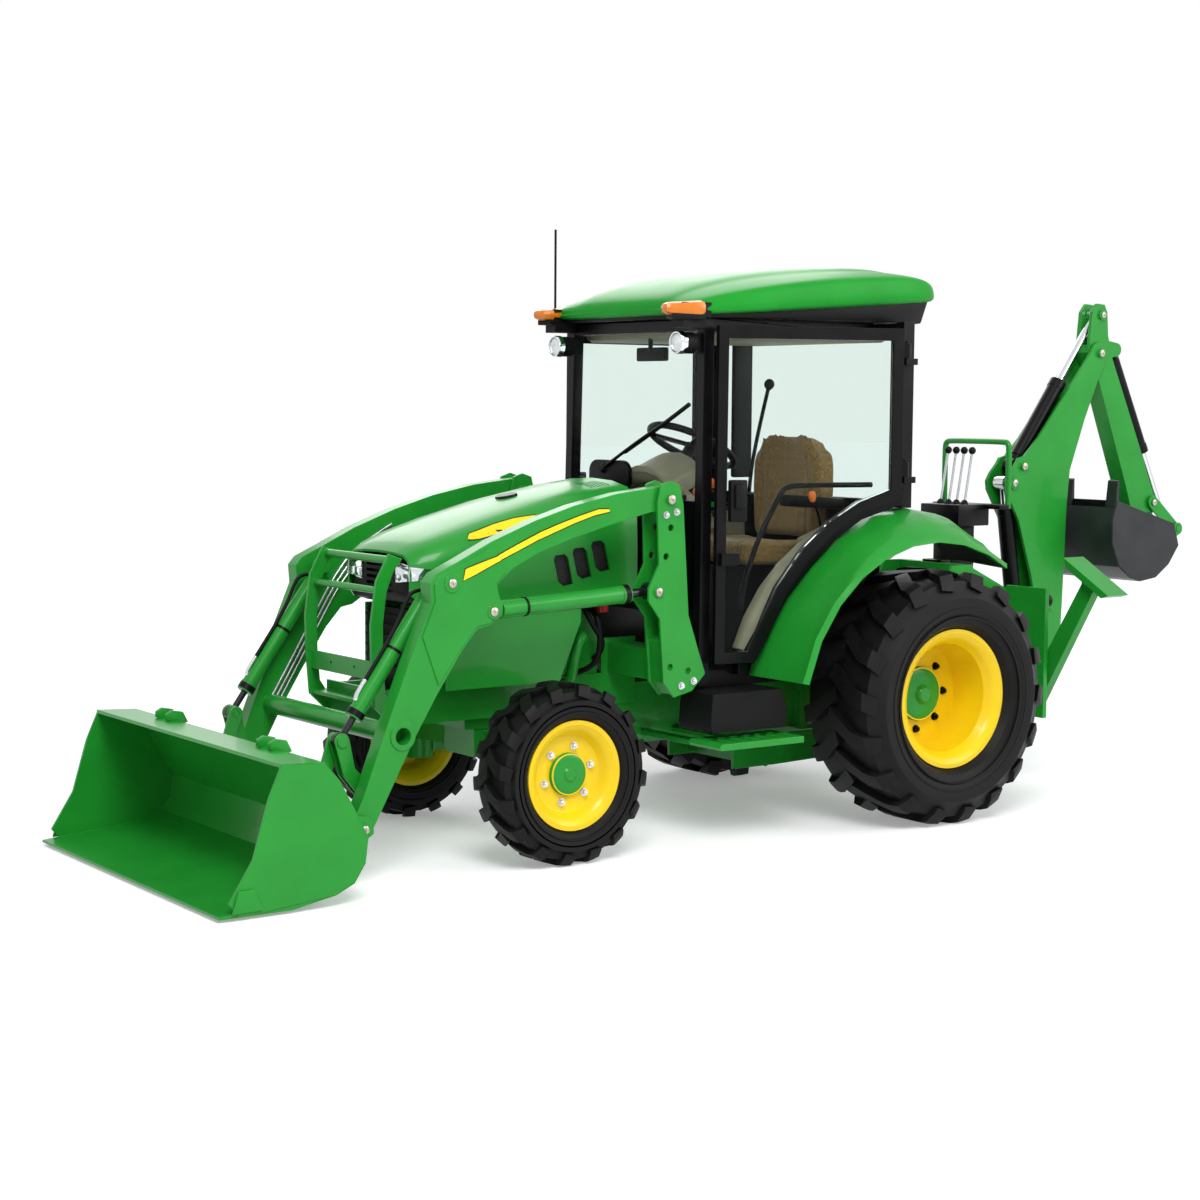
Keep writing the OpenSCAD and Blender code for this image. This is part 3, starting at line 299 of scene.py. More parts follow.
# Stripes
# Yellow film edged with a dark line: a short stripe along each side of the hood and a long one along
# the outer face of each loader arm, pressed on after painting.


def piece_of(name, bm, finish, body, sharp=32.0, edge=0.0):
    """Makes a bmesh a piece at the origin that rides on a body, with rounded edges where asked."""
    limit = math.radians(sharp)
    if edge:
        corners = [e for e in bm.edges if e.is_manifold and e.calc_face_angle(0.0) > limit]
        bmesh.ops.bevel(bm, geom=corners, offset=edge, offset_type="OFFSET", segments=2, profile=0.5,
                        affect="EDGES", material=-1, clamp_overlap=True)
    for face in bm.faces:
        face.smooth = True
    for side in bm.edges:
        side.smooth = not (side.is_manifold and side.calc_face_angle(0.0) > limit)
    mesh = bpy.data.meshes.new(name)
    bm.to_mesh(mesh)
    bm.free()
    mesh.materials.append(finish)
    piece = placed(name, mesh)
    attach(piece, body)
    return piece


def skin_of(name):
    """A solid's surface, to lay things on."""
    mesh = nodes[name].data
    return BVHTree.FromPolygons([v.co.copy() for v in mesh.vertices], [p.vertices[:] for p in mesh.polygons])


def stripe(bm, skin, outline, side, stand, step=None):
    """Lays a film cut to a side view outline on a surface, in cells that follow its curve.

    Where the surface has a step, given by two points, the film is slit along it.
    """
    away, cell_x, cell_z = 0.6, 0.02, 0.012
    corners = [bm.verts.new(at(x, side * away, z)) for x, z in outline]
    rim = [bm.edges.new((a, b)) for a, b in zip(corners, corners[1:] + corners[:1])]
    bmesh.ops.triangle_fill(bm, use_beauty=True, use_dissolve=False, edges=rim)
    (low_x, low_z), (high_x, high_z) = ([pick(values) for values in zip(*outline)] for pick in (min, max))
    cuts = [(at(low_x + cell_x * i, 0, 0), Vector((1, 0, 0))) for i in range(1, int((high_x - low_x) / cell_x) + 1)]
    cuts += [(at(0, 0, low_z + cell_z * i), Vector((0, 0, 1))) for i in range(1, int((high_z - low_z) / cell_z) + 1)]
    if step:
        (x0, z0), (x1, z1) = step
        cuts.append((at(x0, 0, z0), Vector((z1 - z0, 0, x0 - x1))))
    for point, normal in cuts:
        film = [f for f in bm.faces if f.calc_center_median().y * side > away - 0.01]
        parts = {e for f in film for e in f.edges} | {v for f in film for v in f.verts} | set(film)
        cut = bmesh.ops.bisect_plane(bm, geom=list(parts), plane_co=point, plane_no=normal)
    if step:
        bmesh.ops.split_edges(bm, edges=[g for g in cut["geom_cut"] if isinstance(g, bmesh.types.BMEdge)])
    for vert in [v for v in bm.verts if v.co.y * side > away - 0.01]:
        inward = sum((f.calc_center_median() for f in vert.link_faces), Vector()) / len(vert.link_faces) - vert.co
        inset = inward * min(1.0, 0.001 / max(inward.length, 1e-6))
        hit = skin.ray_cast(vert.co + inset, Vector((0, -side, 0)))
        vert.co = Vector((vert.co.x, hit[0].y, vert.co.z)) + hit[1] * stand
    bmesh.ops.recalc_face_normals(bm, faces=bm.faces)
    for face in bm.faces:
        if face.normal.y * face.calc_center_median().y < 0:
            face.normal_flip()


def grown(outline, width):
    """The outline moved outward all round."""
    count = len(outline)
    turn = sum(outline[i - 1][0] * outline[i][1] - outline[i][0] * outline[i - 1][1] for i in range(count))
    out = []
    for i in range(count):
        (x0, z0), (x1, z1), (x2, z2) = outline[i - 1], outline[i], outline[(i + 1) % count]
        way = Vector((z2 - z0, x0 - x2)).normalized() * (width if turn > 0 else -width)
        out.append((x1 + way.x, z1 + way.y))
    return out


hood_skin, arm_skin = skin_of("hood"), skin_of("loader_arms")
hood_film = [(1.986, 1.203), (1.969, 1.222), (1.859, 1.255), (1.767, 1.276), (1.668, 1.288), (1.728, 1.267),
             (1.833, 1.229), (1.937, 1.206)]
arm_film = [(2.180, 1.076), (2.170, 1.118), (2.118, 1.134), (2.031, 1.159), (1.930, 1.203), (1.840, 1.240),
            (1.750, 1.270), (1.658, 1.297), (1.572, 1.319), (1.525, 1.318), (1.520, 1.309), (1.592, 1.297),
            (1.684, 1.270), (1.776, 1.238), (1.853, 1.211), (1.942, 1.174), (2.043, 1.133), (2.130, 1.095)]
stripe_film = enamel("stripe_film", (0.90, 0.70, 0.01), 0.03, 0.2)
stripe_line = enamel("stripe_line", (0.006, 0.016, 0.008), 0.1, 0.2)
film_stand, line_stand, line_width = 0.0026, 0.0012, 0.004
knee_edge = ((1.990, 1.100), (2.050, 1.196))
for film_name, film_skin, film_cut, film_body, film_step in (
        ("hood_stripes", hood_skin, hood_film, "hood", None),
        ("arm_stripes", arm_skin, arm_film, "arms", knee_edge)):
    film_bm, edge_bm = bmesh.new(), bmesh.new()
    for film_side in (1, -1):
        stripe(film_bm, film_skin, film_cut, film_side, film_stand, film_step)
        stripe(edge_bm, film_skin, grown(film_cut, line_width), film_side, line_stand, film_step)
    piece_of(film_name, film_bm, stripe_film, film_body)
    piece_of(film_name + "_line", edge_bm, stripe_line, film_body)

# Hood trim
# Perforated black plate behind the air slots in the hood's sides and top, clipped in from inside, and a
# plain round moulded cap pressed into the hood's top.


def boxes(rows):
    """Boxes, each given by its centre, its size and, where it is turned, degrees and an axis."""
    bm = bmesh.new()
    for centre, size, *turn in rows:
        spin = Matrix.Rotation(math.radians(turn[0]), 4, turn[1]) if turn else Matrix.Identity(4)
        bmesh.ops.create_cube(bm, size=1.0, matrix=Matrix.Translation(centre) @ spin @ Matrix.Diagonal((*size, 1.0)))
    return bm


vent_bm = boxes([(at(x, side * y, z), size) for side in (1, -1) for x, y, z, size in (
    (1.485, 0.291, 1.105, (0.31, 0.004, 0.20)), (1.306, 0.13, 1.372, (0.11, 0.14, 0.004)))])
vent_mesh, vent_shader = plain_finish("vent_mesh", (0.008, 0.008, 0.008), 0.6)
vent_holes = texture(vent_mesh.node_tree, "Voronoi", Scale=160.0, Randomness=0.0)
relief(vent_mesh.node_tree, vent_shader, vent_holes.outputs["Distance"], 1.0, 0.003)
piece_of("hood_vent_screens", vent_bm, vent_mesh, "hood", edge=0.001)


def turned(bm, profile, centre, axis, steps=40):
    """Turns a profile of (radius, distance along the axis) into a closed round form."""
    axis = axis.normalized()
    out = axis.orthogonal().normalized()
    row = [bm.verts.new(centre + out * r + axis * h) for r, h in profile]
    line = [bm.edges.new(pair) for pair in zip(row, row[1:])]
    bmesh.ops.spin(bm, geom=row + line, cent=centre, axis=axis, angle=2 * math.pi, steps=steps, use_merge=True)
    bmesh.ops.remove_doubles(bm, verts=bm.verts, dist=0.00002)
    bmesh.ops.recalc_face_normals(bm, faces=bm.faces)


disc_hit = hood_skin.ray_cast(at(1.63, 0, 2.0), Vector((0, 0, -1)))
disc_bm = bmesh.new()
turned(disc_bm, [(0.0, 0.007), (0.03, 0.007), (0.036, 0.0055), (0.038, 0.007), (0.043, 0.006), (0.045, 0.002),
                 (0.045, -0.004), (0.0, -0.004)], disc_hit[0], disc_hit[1])
piece_of("hood_disc", disc_bm, satin_black, "hood")

# Headlamps
# A clear moulded lens wraps round each front corner of the hood, over a bright plated reflector with
# facets. Both are clipped to the black housing behind them.
front_skin = BVHTree.FromPolygons(
    [v.co.copy() for name in ("hood", "headlamps") for v in nodes[name].data.vertices],
    [tuple(i + shift for i in p.vertices) for name, shift in
     (("hood", 0), ("headlamps", len(nodes["hood"].data.vertices))) for p in nodes[name].data.polygons])


def corner_patch(bm, side, stand, rows=6, columns=18):
    """A patch wrapped round a front corner of the hood, standing off it by a distance."""
    made = bmesh.ops.create_grid(bm, x_segments=columns, y_segments=rows, size=0.5)
    for vert in made["verts"]:
        u, v = vert.co.x + 0.5, vert.co.y + 0.5
        turn = math.radians(8 + 66 * u)
        aim = Vector((math.cos(turn), side * math.sin(turn), 0))
        low, high = 1.040 + 0.030 * u, 1.118 - 0.030 * u
        hit = front_skin.ray_cast(at(2.02, side * 0.10, low + (high - low) * v) + aim * 0.6, -aim)
        vert.co = hit[0] + aim * stand


lamp_chrome, lamp_shader = plain_finish("lamp_chrome", (0.78, 0.80, 0.82), 0.12, 1.0)
lamp_facets = texture(lamp_chrome.node_tree, "Voronoi", Scale=28.0)
relief(lamp_chrome.node_tree, lamp_shader, lamp_facets.outputs["Distance"], 0.7, 0.01)
lens_clear = plain_finish("lens_clear", (0.96, 0.97, 0.98), 0.03, Transmission_Weight=1.0, IOR=1.2)[0]
reflector_bm, lens_bm = bmesh.new(), bmesh.new()
for lamp_side in (1, -1):
    corner_patch(reflector_bm, lamp_side, 0.0015)
    corner_patch(lens_bm, lamp_side, 0.006)
for patch_bm in (reflector_bm, lens_bm):
    for patch_face in patch_bm.faces:
        if patch_face.normal.dot(patch_face.calc_center_median() - at(2.0, 0, 1.08)) < 0:
            patch_face.normal_flip()
bmesh.ops.solidify(lens_bm, geom=lens_bm.faces[:], thickness=0.003)
piece_of("headlamp_reflectors", reflector_bm, lamp_chrome, "hood", sharp=60.0)
piece_of("headlamp_lenses", lens_bm, lens_clear, "hood", sharp=60.0)

# Windows
# Safety glass with a pale green tint, clear enough to show the seat and the dash, and the wiper that
# sweeps the windscreen from a spindle on the cowl; a mirror hangs behind its top edge.
window_glass = plain_finish("window_glass", (0.86, 0.93, 0.90), 0.02, Transmission_Weight=1.0, IOR=1.10)[0]
coat_nodes(window_glass, ["cab_glass", "door_left_glass", "door_right_glass"])


def rod_run(name, runs, radius, finish, body, order=3):
    """Round bars or pipes, each bent smoothly through its points."""
    line = bpy.data.curves.new(name, "CURVE")
    line.dimensions = "3D"
    line.bevel_depth = radius
    line.bevel_resolution = 3
    line.resolution_u = 8
    line.use_fill_caps = True
    for run in runs:
        spline = line.splines.new("NURBS")
        spline.points.add(len(run) - 1)
        for point, place in zip(spline.points, run):
            point.co = (*place, 1.0)
        spline.order_u = order
        spline.use_endpoint_u = True
    line.materials.append(finish)
    piece = placed(name, line)
    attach(piece, body)


rod_run("wiper_arm", [[at(1.012, -0.203, 1.445), at(1.016, -0.15, 1.468), at(1.014, 0.05, 1.565),
                       at(1.008, 0.16, 1.615)]], 0.007, satin_black, "tractor")
rod_run("wiper_blade", [[at(1.004, -0.06, 1.515), at(1.003, 0.16, 1.613), at(1.004, 0.363, 1.712)]], 0.009,
        grained_black, "tractor")
cowl_bm = boxes([(at(0.992, -0.175, 1.415), (0.030, 0.27, 0.13))])
bmesh.ops.bevel(cowl_bm, geom=[e for e in cowl_bm.edges if abs(e.verts[0].co.x - e.verts[1].co.x) > 0.02],
                offset=0.05, segments=6, profile=0.5, affect="EDGES", material=-1)
piece_of("wiper_cowl", cowl_bm, grained_black, "tractor", sharp=50.0, edge=0.006)
spindle_bm = bmesh.new()
turned(spindle_bm, [(0.0, 0.030), (0.012, 0.030), (0.016, 0.024), (0.022, 0.012), (0.024, 0.0), (0.0, 0.0)],
       at(0.995, -0.203, 1.445), Vector((1, 0, 0)), 24)
piece_of("wiper_spindle", spindle_bm, grained_black, "tractor")
mirror_bm = boxes([(at(0.925, 0.02, 1.915), (0.026, 0.19, 0.056)), (at(0.935, 0.02, 1.965), (0.016, 0.02, 0.075))])
piece_of("inside_mirror", mirror_bm, grained_black, "tractor", edge=0.007)

# Roof
# A cap moulded in green plastic with an upright edge, a crease and a raised middle panel, on a black
# moulding that hides the top of the cab frame. Each row gives x, half width, lower edge, crease and top.
roof_rows = [
    (1.084, 0.455, 2.068, 2.092, 2.112), (1.060, 0.482, 2.060, 2.106, 2.138), (1.010, 0.508, 2.054, 2.126, 2.166),
    (0.850, 0.540, 2.064, 2.160, 2.220), (0.500, 0.555, 2.086, 2.208, 2.268), (0.100, 0.555, 2.112, 2.236, 2.288),
    (-0.060, 0.547, 2.122, 2.238, 2.278), (-0.160, 0.522, 2.132, 2.222, 2.252),
    (-0.200, 0.490, 2.142, 2.196, 2.214), (-0.209, 0.455, 2.152, 2.178, 2.192)]
cap_bm = bmesh.new()
cap_loops = []
for row_x, half, low, crease, top in roof_rows:
    section = [(0.94, low), (0.985, low + 0.010), (1.0, low + 0.35 * (crease - low)), (0.985, crease - 0.010),
               (0.955, crease + 0.004), (0.76, crease + 0.50 * (top - crease)),
               (0.66, crease + 0.60 * (top - crease)), (0.58, top - 0.003), (0.30, top), (0.0, top)]
    ring = [(half * y, z) for y, z in section] + [(-half * y, z) for y, z in reversed(section[:-1])]
    verts = [cap_bm.verts.new(at(row_x, y, z)) for y, z in ring]
    cap_loops.append([cap_bm.edges.new(pair) for pair in zip(verts, verts[1:] + verts[:1])])
for first, second in zip(cap_loops, cap_loops[1:]):
    bmesh.ops.bridge_loops(cap_bm, edges=first + second)
for end in (cap_loops[0], cap_loops[-1]):
    bmesh.ops.contextual_create(cap_bm, geom=end)
bmesh.ops.recalc_face_normals(cap_bm, faces=cap_bm.faces)
roof_green = enamel("roof_green", leaf_green, coat=0.0, specular=0.08)
roof_cap = piece_of("roof_cap", cap_bm, roof_green, "tractor", sharp=60.0, edge=0.004)
moulded = roof_cap.modifiers.new("moulded", "SUBSURF")
moulded.levels = moulded.render_levels = 2
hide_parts("roof")
band_bm = bmesh.new()
band_corners = [band_bm.verts.new(at(x, y, 2.049)) for x, y in (
    (1.062, 0.40), (1.062, -0.40), (1.030, -0.470), (0.95, -0.500), (0.40, -0.528), (0.0, -0.528), (-0.11, -0.50),
    (-0.15, -0.44), (-0.155, 0.0), (-0.15, 0.44), (-0.11, 0.50), (0.0, 0.528), (0.40, 0.528), (0.95, 0.500),
    (1.030, 0.470))]
band_face = band_bm.faces.new(band_corners)
band_top = bmesh.ops.extrude_face_region(band_bm, geom=[band_face])
for vert in [g for g in band_top["geom"] if isinstance(g, bmesh.types.BMVert)]:
    back = at(0.5, 0, 0).x - vert.co.x
    vert.co.z = 2.072 + 0.075 * max(0.0, at(0.9, 0, 0).x - vert.co.x)
    vert.co.y *= 1.012
    vert.co.x -= 0.035 if back > 0.5 else 0.0
bmesh.ops.recalc_face_normals(band_bm, faces=band_bm.faces)
piece_of("roof_band", band_bm, grained_black, "tractor", edge=0.006)

# Flashers and work lamps
# Amber moulded lenses on black feet at the front corners of the roof, and below them round work lamps
# with a plated bezel and a domed clear lens. All are screwed to the cab frame.
amber_lens = mottled("amber_lens", (0.90, 0.24, 0.01), 0.06, 30.0, 0.1, (0.12, 0.22), Transmission_Weight=0.25)
flasher_turn = -14
amber_bm = boxes([(at(1.105, side * 0.448, 2.085), (0.178, 0.070, 0.064), flasher_turn * side, "Z")
                  for side in (1, -1)])
for vert in amber_bm.verts:
    if vert.co.x > at(1.105, 0, 0).x:
        vert.co.z = 2.083 + (vert.co.z - 2.085) * 0.7
foot_bm = boxes([(at(x, side * y, z), size, flasher_turn * side, "Z") for side in (1, -1) for x, y, z, size in (
    (1.09, 0.446, 2.052, (0.14, 0.07, 0.022)), (1.060, 0.456, 2.078, (0.130, 0.060, 0.060)))])
piece_of("flasher_lenses", amber_bm, amber_lens, "tractor", edge=0.029)
piece_of("flasher_feet", foot_bm, grained_black, "tractor", edge=0.004)
work_bezel_bm, work_lens_bm = bmesh.new(), bmesh.new()
for lamp_side in (1, -1):
    face_centre = at(1.110, lamp_side * 0.415, 1.952)
    turned(work_bezel_bm, [(0.036, -0.002), (0.038, 0.005), (0.043, 0.005), (0.0455, 0.0), (0.0455, -0.022),
                           (0.041, -0.022), (0.036, -0.002)], face_centre, Vector((1, 0, 0)))
    turned(work_lens_bm, [(0.0, 0.009), (0.013, 0.008), (0.025, 0.005), (0.035, 0.001), (0.037, -0.003),
                          (0.0, -0.003)], face_centre, Vector((1, 0, 0)))
piece_of("work_lamp_bezels", work_bezel_bm, lamp_chrome, "tractor")
work_glass = mottled("work_glass", (0.72, 0.75, 0.76), 0.12, 50.0, 0.4, (0.08, 0.2), 0.35)
piece_of("work_lamp_lenses", work_lens_bm, work_glass, "tractor")

# Doors
# Each glass door has a moulded black latch block with a raised grip on its front edge, and a bent steel
# grab bar inside, which runs down the front edge and back along the pane. Both are screwed to its frame.
door_turn = math.atan2(0.150, 0.870)
hinge_x, hinge_y = 0.112, 0.652


def on_door(side, along, out, up):
    """A point on a door: distance forward of its hinge, outward from its middle plane, and up."""
    x = hinge_x + along * math.cos(door_turn) + out * math.sin(door_turn)
    y = hinge_y - along * math.sin(door_turn) + out * math.cos(door_turn)
    return at(x, side * y, up)


for door_side, door_body in ((1, "door_l"), (-1, "door_r")):
    latch_turn = -math.degrees(door_turn) * door_side
    latch_bm = boxes([
        (on_door(door_side, 0.792, 0.022, 1.335), (0.075, 0.030, 0.165), latch_turn, "Z"),
        (on_door(door_side, 0.795, 0.042, 1.352), (0.042, 0.022, 0.095), latch_turn, "Z")])
    piece_of("door_latch_" + door_body, latch_bm, grained_black, door_body, edge=0.006)
    rod_run("door_grab_" + door_body, [[on_door(door_side, a, -0.045, z) for a, z in (
        (0.735, 0.90), (0.735, 0.962), (0.66, 1.18), (0.565, 1.345), (0.535, 1.385), (0.46, 1.390),
        (0.16, 1.388), (0.13, 1.388))]], 0.011, satin_black, door_body)

# Rear wheel arches
# A black moulded liner close under each green fender, from its inner edge to its lip, which closes the
# gap to the cab. Each row gives an angle, and the reach in millimetres to the fender's crest and its lip.
arch_x, arch_z = 0.100, 0.475
arch_rows = [(13.5, 694, 702), (28, 696, 702), (42, 702, 702), (55, 722, 703), (67, 756, 704), (80, 796, 706),
             (92, 815, 708), (104, 812, 712), (116, 780, 716), (125.5, 738, 720)]


def arch_shell(name, turns, columns, spot, finish, sharp):
    """A thin sheet over each rear wheel; spot gives its x, y and z by the number of its turn and column."""
    bm = bmesh.new()
    for side in (1, -1):
        grid = bmesh.ops.create_grid(bm, x_segments=turns - 1, y_segments=columns - 1, size=0.5)
        for vert in grid["verts"]:
            x, y, z = spot(round((vert.co.x + 0.5) * (turns - 1)), round((vert.co.y + 0.5) * (columns - 1)))
            vert.co = at(x, side * y, z)
    bmesh.ops.recalc_face_normals(bm, faces=bm.faces)
    bmesh.ops.solidify(bm, geom=bm.faces[:], thickness=0.004)
    piece_of(name, bm, finish, "tractor", sharp=sharp)


def on_arch(turn, reach):
    """A point in the side view round the arch's centre."""
    return arch_x + reach * math.cos(math.radians(turn)), arch_z + reach * math.sin(math.radians(turn))


def liner_spot(row, column):
    """A point of the liner, a little inside the fender."""
    turn, crest, lip = arch_rows[row]
    across, reach = [(0.474, crest - 24), (0.618, crest - 19), (0.696, crest - 0.15 * (crest - lip) - 23),
                     (0.764, crest - 0.5 * (crest - lip) - 25), (0.797, lip - 17)][column]
    x, z = on_arch(turn, reach / 1000.0)
    return x, across, z


arch_shell("arch_liners", len(arch_rows), 5, liner_spot, grained_black, 50.0)

# Cab trim
# Side consoles, arch covers, headliner and dash cowl moulded in grained beige plastic and clipped to the
# cab, black covers on the rear posts, and steel hand levers with orange or black moulded knobs.
trim_beige = mottled("trim_beige", (0.235, 0.205, 0.135), 0.1, 20.0, 0.3, (0.5, 0.65))
coat_nodes(trim_beige, ["consoles"], edge=0.006)
cover_cols = [(0.580, 0.736), (0.560, 0.752), (0.480, 0.780), (0.440, 0.782), (0.425, 0.760), (0.425, 0.700)]
cover_turns = [20, 30, 40, 50, 60, 70, 79]
door_room = 0.040


def cover_spot(row, column):
    """A point of the cover, kept clear of the shut door."""
    across, reach = cover_cols[column]
    x, z = on_arch(cover_turns[row], reach)
    return x, min(across, hinge_y - (x - hinge_x) * math.tan(door_turn) - door_room), z


arch_shell("arch_covers", len(cover_turns), len(cover_cols), cover_spot, trim_beige, 60.0)
pillar_bm = boxes([(at(0.005, side * 0.515, 1.690), (0.105, 0.030, 0.62)) for side in (1, -1)])
piece_of("post_covers", pillar_bm, grained_black, "tractor", edge=0.010)
dash_bm = boxes([(at(0.875, 0.02, 1.425), (0.19, 0.34, 0.075), 24, "Y")])
bmesh.ops.subdivide_edges(dash_bm, edges=dash_bm.edges[:], cuts=4, use_grid_fill=True)
for vert in dash_bm.verts:
    vert.co.z += 0.06 * (1.0 - ((vert.co.y - 0.02) / 0.17) ** 2) - 0.03
piece_of("dash_cowl", dash_bm, trim_beige, "tractor", sharp=60.0, edge=0.012)
lever_runs = [[at(x, y, z0), at(x + 0.01, y, z0 + 0.08), at(x + lean, y, z1)] for x, y, z0, z1, lean in (
    (0.30, 0.36, 1.19, 1.33, 0.05), (0.25, -0.36, 1.20, 1.36, 0.05), (0.34, -0.34, 1.17, 1.32, 0.06),
    (0.28, -0.40, 1.19, 1.30, 0.03))]
rod_run("console_levers", lever_runs, 0.006, satin_black, "tractor")
orange_knob = mottled("orange_knob", (0.80, 0.16, 0.01), 0.06, 30.0, 0.1, (0.28, 0.4))
knob_bm = bmesh.new()
for run in lever_runs:
    turned(knob_bm, [(0.0, 0.026), (0.010, 0.024), (0.016, 0.012), (0.015, -0.004), (0.010, -0.018),
                     (0.0, -0.020)], run[-1], Vector((0.15, 0, 1)), 20)
piece_of("console_knobs", knob_bm, orange_knob, "tractor")
headliner_bm = boxes([(at(0.470, 0, 2.006), (0.96, 0.86, 0.072))])
piece_of("headliner", headliner_bm, trim_beige, "tractor", edge=0.028)
rod_run("range_lever", [[at(x, -0.400, z) for x, z in ((0.060, 1.19), (0.052, 1.36), (0.012, 1.56), (-0.055, 1.79))]],
        0.009, satin_black, "tractor")
ball_top_bm = bmesh.new()
turned(ball_top_bm, [(0.0, 0.026), (0.012, 0.023), (0.021, 0.012), (0.024, 0.0), (0.020, -0.013), (0.010, -0.024),
                     (0.0, -0.026)], at(-0.058, -0.400, 1.800), Vector((-0.2, 0, 1)), 24)
piece_of("range_knob", ball_top_bm, grained_black, "tractor")
post_bm = boxes([(at(0.62, -0.335, 1.06), (0.05, 0.05, 0.50), 10, "Y")])
piece_of("control_post", post_bm, grained_black, "tractor", edge=0.010)

# Seat
# Foam cushion and back under brown woven fabric, each with a sewn centre panel between raised side
# rolls, bolted to the seat's slide, and two armrests moulded in black foam.
seat_fabric, fabric_shader = plain_finish("seat_fabric", (0.155, 0.095, 0.048), 0.9, Sheen_Weight=0.25,
                                          Sheen_Roughness=0.5)
fabric_tree = seat_fabric.node_tree
weave = fabric_tree.nodes.new("ShaderNodeMath")
weave.operation = "MAXIMUM"
for thread, direction in enumerate("YZ"):
    wave = texture(fabric_tree, "Wave", Scale=90.0)
    wave.bands_direction = direction
    fabric_tree.links.new(wave.outputs["Fac"], weave.inputs[thread])
fleck = texture(fabric_tree, "Noise", Scale=140.0, Detail=4.0)
tone(fabric_tree, fabric_shader, fleck, ((0.35, (0.110, 0.058, 0.015)), (0.7, (0.340, 0.195, 0.060))))
relief(fabric_tree, fabric_shader, weave.outputs[0], 0.5, 0.0015)


def stuffed(name, bm, cap, seams):
    """A fabric case blown out by its filling, held near its cut shape, then sewn in along seams."""
    for face in bm.faces:
        face.smooth = True
    mesh = bpy.data.meshes.new(name)
    bm.to_mesh(mesh)
    bm.free()
    pad = placed(name, mesh)
    scene = bpy.context.scene
    remesh = pad.modifiers.new("even_cloth", "REMESH")
    remesh.mode = "VOXEL"
    remesh.voxel_size = 0.006
    graph = bpy.context.evaluated_depsgraph_get()
    even = bpy.data.meshes.new_from_object(pad.evaluated_get(graph))
    pad.modifiers.clear()
    pad.data = even
    start = [v.co.copy() for v in even.vertices]
    cloth = pad.modifiers.new("filling", "CLOTH")
    cloth.settings.use_pressure = True
    cloth.settings.uniform_pressure_force = 4.0
    cloth.settings.effector_weights.gravity = 0.0
    cloth.point_cache.frame_start, cloth.point_cache.frame_end = 1, 20
    for step in range(1, 21):
        scene.frame_set(step)
    graph = bpy.context.evaluated_depsgraph_get()
    blown = bpy.data.meshes.new_from_object(pad.evaluated_get(graph))
    pad.modifiers.clear()
    scene.frame_set(1)
    for vert, place in zip(blown.vertices, start):
        move = vert.co - place
        vert.co = place + move * min(1.0, cap / max(move.length, 1e-6))
    pad.data = blown
    outward = [v.normal.copy() for v in pad.data.vertices]
    for vert, way in zip(pad.data.vertices, outward):
        for depth, width, distance in seams:
            vert.co -= way * depth * math.exp(-(distance(vert.co) / width) ** 2)
    pad.data.materials.clear()
    pad.data.materials.append(seat_fabric)
    for polygon in pad.data.polygons:
        polygon.use_smooth = True
    ease = pad.modifiers.new("eased_cloth", "SMOOTH")
    ease.factor = 0.5
    ease.iterations = 5
    finer = pad.modifiers.new("fine_cloth", "SUBSURF")
    finer.levels = finer.render_levels = 1
    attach(pad, "tractor")
    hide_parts("seat")


cushion_bm = boxes([(at(0.385, 0, 1.096), (0.385, 0.470, 0.088))])
bmesh.ops.subdivide_edges(cushion_bm, edges=cushion_bm.edges[:], cuts=6, use_grid_fill=True)
for vert in cushion_bm.verts:
    across, ahead = vert.co.y / 0.235, (vert.co.x - at(0.385, 0, 0).x) / 0.19
    if vert.co.z > 1.10:
        vert.co.z += 0.014 * across * across + 0.006 * ahead - 0.012
    vert.co.y *= 1.0 - 0.10 * max(0.0, ahead) ** 3
bmesh.ops.bevel(cushion_bm, geom=[e for e in cushion_bm.edges if e.calc_face_angle(0.0) > 0.9], offset=0.024,
                segments=3, profile=0.5, affect="EDGES", material=-1)
stuffed("seat_cushion", cushion_bm, 0.008, [
    (0.008, 0.006, lambda p: abs(p.y) - 0.150),
    (0.006, 0.006, lambda p: p.x - at(0.46, 0, 0).x if abs(p.y) < 0.15 else 1.0),
    (0.006, 0.006, lambda p: p.x - at(0.34, 0, 0).x if abs(p.y) < 0.15 else 1.0)])
back_bm = boxes([(at(0.140, 0, 1.360), (0.095, 0.450, 0.440))])
bmesh.ops.subdivide_edges(back_bm, edges=back_bm.edges[:], cuts=6, use_grid_fill=True)
for vert in back_bm.verts:
    across, height = vert.co.y / 0.225, (vert.co.z - 1.36) / 0.22
    if vert.co.x > at(0.14, 0, 0).x:
        vert.co.x += 0.020 * across * across - 0.012
    vert.co.y *= 1.0 - 0.06 * max(0.0, height) ** 3 - 0.05 * max(0.0, -height) ** 2
    vert.co.z -= 0.075 * abs(across) ** 3 * max(0.0, height)
bmesh.ops.bevel(back_bm, geom=[e for e in back_bm.edges if e.calc_face_angle(0.0) > 0.9], offset=0.026,
                segments=3, profile=0.5, affect="EDGES", material=-1)
stuffed("seat_back", back_bm, 0.007, [
    (0.009, 0.006, lambda p: math.hypot(abs(p.y) - 0.140, 0.5 * max(0.0, p.z - 1.490))),
    (0.006, 0.006, lambda p: p.z - 1.47 if abs(p.y) < 0.14 else 1.0),
    (0.006, 0.006, lambda p: p.z - 1.30 if abs(p.y) < 0.14 else 1.0)])
arm_rest_bm = boxes([row for side in (1, -1) for row in (
    (at(0.270, side * 0.268, 1.305), (0.32, 0.058, 0.050), -4, "Y"),
    (at(0.155, side * 0.262, 1.215), (0.06, 0.026, 0.20)))])
piece_of("arm_rests", arm_rest_bm, grained_black, "tractor", edge=0.012)

